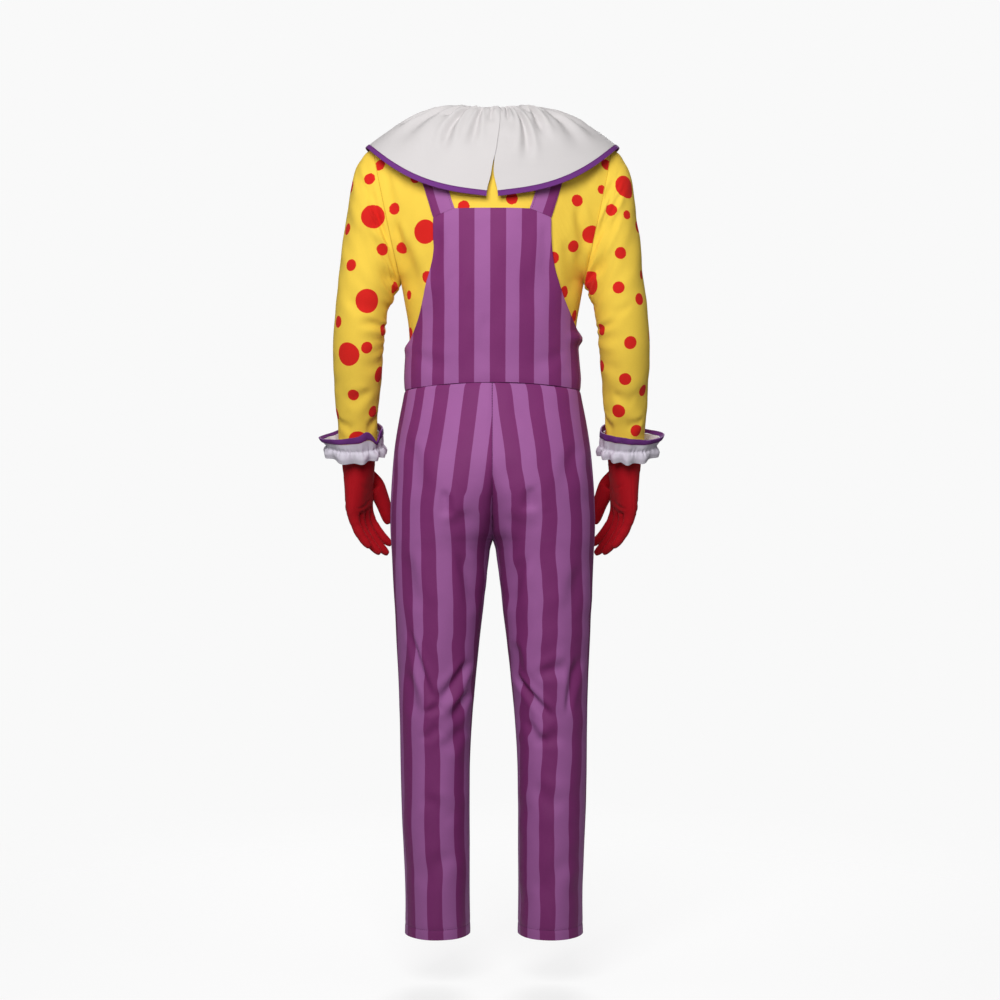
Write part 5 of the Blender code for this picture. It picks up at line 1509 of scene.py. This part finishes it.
# %% Rings of the palm, the fingers and the thumb
def palm_ring(size, share):
    """Twenty points round the hand: its back (9), the thumb's side, the palm (9) and the
    little finger's side. share flattens the ring."""
    down, half, thick = size
    back = []
    for j in range(9):
        turn, even = math.radians(18 * (j - 4)), 0.95 * (j - 4) / 4
        side = math.sin(turn) * (1 - share) + even * share
        height = math.cos(turn) * (1 - share) + math.sqrt(1 - even ** 4) * share
        back.append((down, half * side, -thick * height))
    palm = [(down, side, -height) for _, side, height in reversed(back)]
    return back + [(down, half, 0.0)] + palm + [(down, -half, 0.0)]


def finger_rings(row):
    """Rings of eight down one finger, each turned further towards the palm."""
    place, width, length, knuckle, bend = row
    middle = (place - 1.5) * FINGER_PITCH
    down, palmar, before, rings = knuckle, 0.0, 0.0, []
    for share, taper, curl in zip(FINGER_ROWS, FINGER_TAPER, FINGER_CURL):
        angle = math.radians(curl * bend)
        down += (share - before) * length * math.cos(angle)
        palmar += (share - before) * length * math.sin(angle)
        before = share
        turns = np.radians((135, 90, 45, 0, -45, -90, -135, 180))
        reach = width / 2 * taper * np.cos(turns)
        lift = -width / 2 * FINGER_DEEP * taper * np.sin(turns)
        rings.append(points(down - lift * math.sin(angle), middle + reach,
                            palmar + lift * math.cos(angle)))
    return rings


def thumb_rings():
    """Rings of eight down the thumb."""
    rings = []
    for share in THUMB_ROWS:
        centre = np.array([THUMB.at(name, share) for name in THUMB.names[1:4]])
        before = np.array([THUMB.at(name, share - 0.02) for name in THUMB.names[1:4]])
        axis = unit(centre - before)
        palm = np.array((0.0, 0.0, 1.0))
        second = unit(palm - (palm @ axis) * axis)
        first = np.cross(second, axis)
        turns = np.radians((-45, 0, 45, 90, 135, 180, 225, 270))[:, None]
        rings.append(centre + THUMB.at("radius", share)
                     * (np.cos(turns) * first + np.sin(turns) * second))
    return rings


# %% Put the cage together
def glove_cage():
    """The whole cage: palm, thumb, webs between the fingers, and fingers."""
    cage = Cage()
    last, thumb_row, thumb_side = len(PALM.rows) - 1, 2, 9
    palm = [cage.add_ring(palm_ring(size, soft(row / last)))
            for row, size in enumerate(PALM.rows)]
    for row in range(last):
        for i in range(20):
            j = (i + 1) % 20
            if row not in (thumb_row, thumb_row + 1) or i not in (thumb_side - 1, thumb_side):
                cage.faces.append((palm[row][i], palm[row][j], palm[row + 1][j],
                                   palm[row + 1][i]))
    upper, middle, lower = palm[thumb_row:thumb_row + 3]
    root = [upper[8], upper[9], upper[10], middle[10], lower[10], lower[9], lower[8],
            middle[8]]
    for ring in thumb_rings():
        here = cage.add_ring(ring)
        cage.join(root, here)
        root = here
    cage.cap(root)
    edge = palm[-1]
    webs = [edge[19]]
    for place in range(3):
        top = cage.points[edge[2 * place + 2]]
        webs += cage.add_ring([(top[0] + WEB, (place - 1) * FINGER_PITCH, 0.0)])
    webs.append(edge[9])
    for place, row in enumerate(FINGERS.rows):
        left = 2 * place
        root = [edge[left], edge[left + 1], edge[left + 2], webs[place + 1],
                edge[16 - left], edge[17 - left], edge[18 - left], webs[place]]
        for ring in finger_rings(row):
            here = cage.add_ring(ring)
            cage.join(root, here)
            root = here
        cage.cap(root)
    used, faces = np.unique(np.array(cage.faces), return_inverse=True)
    return np.array(cage.points)[used], faces.reshape(-1, 4)


# %% Round the cage
def rounded(cage_points, cage_faces, levels):
    """Points and quads of the cage after this many subdivisions."""
    cage = place_object("glove_cage", mesh_of("glove_cage", cage_points, cage_faces))
    smooth = cage.modifiers.new("round", "SUBSURF")
    smooth.levels = smooth.render_levels = levels
    seen = cage.evaluated_get(bpy.context.evaluated_depsgraph_get()).to_mesh()
    fine = np.empty(len(seen.vertices) * 3)
    seen.vertices.foreach_get("co", fine)
    quads = np.empty(len(seen.polygons) * 4, int)
    seen.loops.foreach_get("vertex_index", quads)
    bpy.data.objects.remove(cage)
    return fine.reshape(-1, 3), quads.reshape(-1, 4)


def squares_of(fine, quads):
    """Unit vectors square to a mesh of quads, at its points."""
    a, b, c, d = (fine[quads[:, i]] for i in range(4))
    square = np.zeros_like(fine)
    for corner in quads.T:
        np.add.at(square, corner, np.cross(c - a, d - b))
    return unit(square)


# %% Creases of the gloves
# On the back, -1, and the palm, 1: start across and down the hand, end, half width, depth,
# bow, in millimetres.
HAND_FOLDS = {
    -1: from_mm(
        (-36, 112, -12, 119, 3, 1.2, 1), (-14, 121, 8, 123, 2.8, 1, -1),
        (8, 120, 32, 117, 3, 1.1, 1), (-34, 94, -20, 104, 4, 0.9, 1),
        (30, 62, 12, 78, 4.5, 0.9, 2), (-30, 30, -18, 50, 4, 0.9, 1),
        (6, 34, 24, 30, 3.5, 0.7, 1),
    ),
    1: from_mm(
        (-36, 104, 6, 98, 3.6, 1.4, 3), (-30, 116, -4, 118, 3, 1.2, 1),
        (0, 119, 30, 114, 3, 1.2, -1), (30, 52, 6, 84, 4.5, 1.4, -4),
        (-30, 60, -6, 74, 4, 1, 2), (-24, 26, 14, 24, 3.6, 0.9, 1),
    ),
}
# Across a finger: how far along it, as a share, and depth.
FINGER_CREASES = ((0.29, 0.0007), (0.34, 0.0009), (0.40, 0.0006), (0.62, 0.0006),
                  (0.68, 0.0005))
CREASE_WIDE = 0.0018
CUFF_RINGS = 0.0058     # the knit of the wrist is pushed together in rings, this far apart


def glove_creases(hand):
    """Metres that the knit sinks at points in the hand's own sizes."""
    down, side, palmar = hand.T
    face = soft(palmar / 0.012 + 0.5)
    sink = fold_depth(HAND_FOLDS[-1], side, down) * (1 - face)
    sink = sink + fold_depth(HAND_FOLDS[1], side, down) * face
    around = np.arctan2(palmar, side)
    gathers = np.sin(13 * around + 1.5 * np.sin(2 * around)) + 0.5 * np.sin(29 * around + 2)
    sink = sink + 0.0006 * gathers * bell((down - 0.006) / 0.010)
    rings = np.sin(2 * math.pi * down / CUFF_RINGS + 2 * around)
    sink = sink + 0.0005 * rings * bell((down - 0.020) / 0.009)
    edge_seam = bell(palmar / 0.0012) * (side < 0) * soft((0.112 - down) / 0.01)
    sink = sink + 0.0007 * edge_seam
    for place, _, length, knuckle, _ in FINGERS.rows:
        on_it = (np.abs(side - (place - 1.5) * FINGER_PITCH) < FINGER_PITCH / 2) \
            & (down > knuckle - 0.002) & ((side < 0.036) | (palmar < 0.020))
        reach = np.hypot(down - knuckle, palmar) / length
        for share, depth in FINGER_CREASES:
            crease = reach - share + 0.006 * np.sin(40 * side + place)
            sink = sink + on_it * depth * bell(crease * length / CREASE_WIDE)
    return sink


# %% Make the gloves
GLOVE_WALL = 0.0010
GLOVE_FULL = 0.0004     # the knit stands this far outside the rounded cage
hand_cage, cage_faces = glove_cage()
hand, quads = rounded(hand_cage, cage_faces, levels=3)
hand_out = squares_of(hand, quads)
if (hand_out * (hand - hand.mean(axis=0)))[:, 1:].sum() < 0:
    hand_out = -hand_out
hand = hand + hand_out * (GLOVE_FULL - glove_creases(hand))[:, None]
facing = np.sign((squares_of(hand, quads) * hand_out).sum())
flat = np.stack([hand[:, 1] + 0.8 * np.abs(hand[:, 2]), hand[:, 0]], axis=1)[quads]
turn, lean = HAND_TURN, HAND_LEAN
HAND_AXES = np.array(((0.0, 0.0, -1.0), (-math.sin(turn), -math.cos(turn), 0.0),
                      (-math.cos(turn), math.sin(turn), 0.0)))
HAND_TILT = np.array(((1.0, 0.0, 0.0), (0.0, math.cos(lean), math.sin(lean)),
                      (0.0, -math.sin(lean), math.cos(lean))))
for name, side in SIDES.items():
    axes = (HAND_AXES @ HAND_TILT.T) * np.array((side, 1, 1))
    wrist = np.array((side * (WRIST[0] + ARM_SPREAD[side]), WRIST[1], WRIST[2]))
    outer = hand @ axes + wrist
    inner = outer - squares_of(outer, quads) * side * facing * GLOVE_WALL
    piece = close_wall(f"hand_glove_{name}", outer, inner, quads, flat, glove_knit)
    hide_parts(f"glove_{name}")

# %% [markdown]
# ## Threads
# Stitching isn't drawn on the cloth but laid on it: each stitch is a short bar of thread
# with its ends tucked in, standing half a thread proud. Stitches of one colour make one
# object, as they are all the same thread.

# %% Join the stitches
# The six sides of a bar, by the numbers of its eight corners.
BAR = np.array(((0, 1, 2, 3), (7, 6, 5, 4), (1, 0, 4, 5), (2, 1, 5, 6), (3, 2, 6, 7),
                (0, 3, 7, 4)))
for name, bars in threads.items():
    bars = np.concatenate(bars)
    quads = (BAR[None] + 8 * np.arange(len(bars))[:, None, None]).reshape(-1, 4)
    a, b, c = (bars[0][BAR[0][i]] for i in range(3))
    if np.cross(b - a, c - a) @ (a - bars[0].mean(axis=0)) < 0:
        quads = quads[:, ::-1]
    mesh = mesh_of(f"stitching_{name}", bars.reshape(-1, 3), quads)
    mesh.uv_layers.new(name="cloth")
    mesh.materials.append(THREADS[name])
    mesh.shade_smooth()
    piece = place_object(f"stitching_{name}", mesh)
    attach(piece, "root")
    print(name, "thread has", len(bars), "stitches")

# %% [markdown]
# ## Floor, light and camera
# A costume is shown on a plain pale ground in soft, even light, so that colour and cloth
# can be judged. The floor is a wide disc that fades out before its edge, and the ground
# behind it is as pale as a studio's. The main light is a large softbox behind the wearer,
# higher than the collar and aimed over it, so its light rakes down over the folds and gets
# weaker towards the hems. Two weak ones at the sides keep the edges from going black, and
# one on the far side lights the front.

# %% The ground
FLOOR_DROP = 1.575      # below the base of the neck, so the hems hang 92 mm above it
FLOOR_RADIUS = 3.0
FLOOR_GLOW = 0.72       # it shines a little itself, to be as pale as the ground behind it
FADE_FROM, FADE_TO = 1.62, 2.7      # metres from the middle
spokes = np.linspace(0, 2 * math.pi, 96, endpoint=False)
rim = points(FLOOR_RADIUS * np.cos(spokes), FLOOR_RADIUS * np.sin(spokes), -FLOOR_DROP)
mesh = mesh_of("floor", rim, np.arange(len(rim))[None])
floor = place_object("floor", mesh)
ground = bpy.data.materials.new("pale_floor")
ground.use_nodes = True
shader = ground.node_tree.nodes["Principled BSDF"]
shader.inputs["Base Color"].default_value = colour("#8A8A8A")
shader.inputs["Roughness"].default_value = 0.9
shader.inputs["Specular IOR Level"].default_value = 0.1
shader.inputs["Emission Color"].default_value = colour("#FFFFFF")
shader.inputs["Emission Strength"].default_value = FLOOR_GLOW
floor.visible_diffuse = False   # a pale ground would light the trouser legs from below
place = add(ground, "TexCoord")
far = add(ground, "VectorMath", {"operation": "LENGTH"}, {0: place.outputs["Object"]})
shown = add(ground, "MapRange", {"interpolation_type": "SMOOTHSTEP"},
            {"Value": far.outputs["Value"], "From Min": FADE_FROM, "From Max": FADE_TO,
             "To Min": 1.0, "To Max": 0.0})
ground.node_tree.links.new(shown.outputs["Result"], shader.inputs["Alpha"])
mesh.materials.append(ground)
print("the floor lies", round(FLOOR_DROP - HEM, 3), "m below the hems")

# %% The light from all round
AMBIENT = 0.135         # weak, so that the softboxes make the shades
studio = bpy.context.scene.world or bpy.data.worlds.new("studio")
bpy.context.scene.world = studio
studio.use_nodes = True
tree = studio.node_tree
backdrop = tree.nodes["Background"]
backdrop.inputs["Color"].default_value = colour("#F9F9F9")
ambient = tree.nodes.new("ShaderNodeBackground")
ambient.inputs["Color"].default_value = colour("#FFFFFF")
ambient.inputs["Strength"].default_value = AMBIENT
seen = tree.nodes.new("ShaderNodeLightPath")
either = tree.nodes.new("ShaderNodeMixShader")
tree.links.new(seen.outputs["Is Camera Ray"], either.inputs[0])
tree.links.new(ambient.outputs[0], either.inputs[1])
tree.links.new(backdrop.outputs[0], either.inputs[2])
tree.links.new(either.outputs[0], tree.nodes["World Output"].inputs["Surface"])


# %% The softboxes
def softbox(name, place, aim, size, watts):
    """A square area light at a place, turned to what it lights."""
    lamp = bpy.data.lights.new(name, "AREA")
    lamp.size, lamp.energy = size, watts
    box = place_object(name, lamp)
    box.visible_camera = False
    box.location = place
    ray = np.array(aim) - np.array(place)
    level = math.hypot(ray[0], ray[1])
    box.rotation_euler = (math.atan2(level, -ray[2]), 0, math.atan2(-ray[0], ray[1]))
    print("softbox", name, "has", watts, "W")


softbox("key", (0.4, 2.5, 0.8), (0, 0, 0.5), 1.6, 82)
softbox("left", (2.6, 0.8, 0.3), (0, 0, -0.4), 1.2, 3.5)
softbox("right", (-2.6, 1.4, 0.3), (0, 0, -0.2), 1.2, 4.5)
softbox("behind", (-0.2, -3.2, 1.2), (0, 0, -0.6), 1.8, 112)
bpy.context.scene.view_settings.view_transform = "Standard"

# %% The camera
# It looks level at the middle of the costume's back, from far enough away that the nearer
# parts don't look too large.
eye = bpy.data.cameras.new("eye")
eye.lens, eye.sensor_width = 70, 36
camera = place_object("eye", eye)
camera.location = (-0.0135, 3.5, -0.707)
camera.rotation_euler = (math.pi / 2, 0, math.pi)
bpy.context.scene.camera = camera
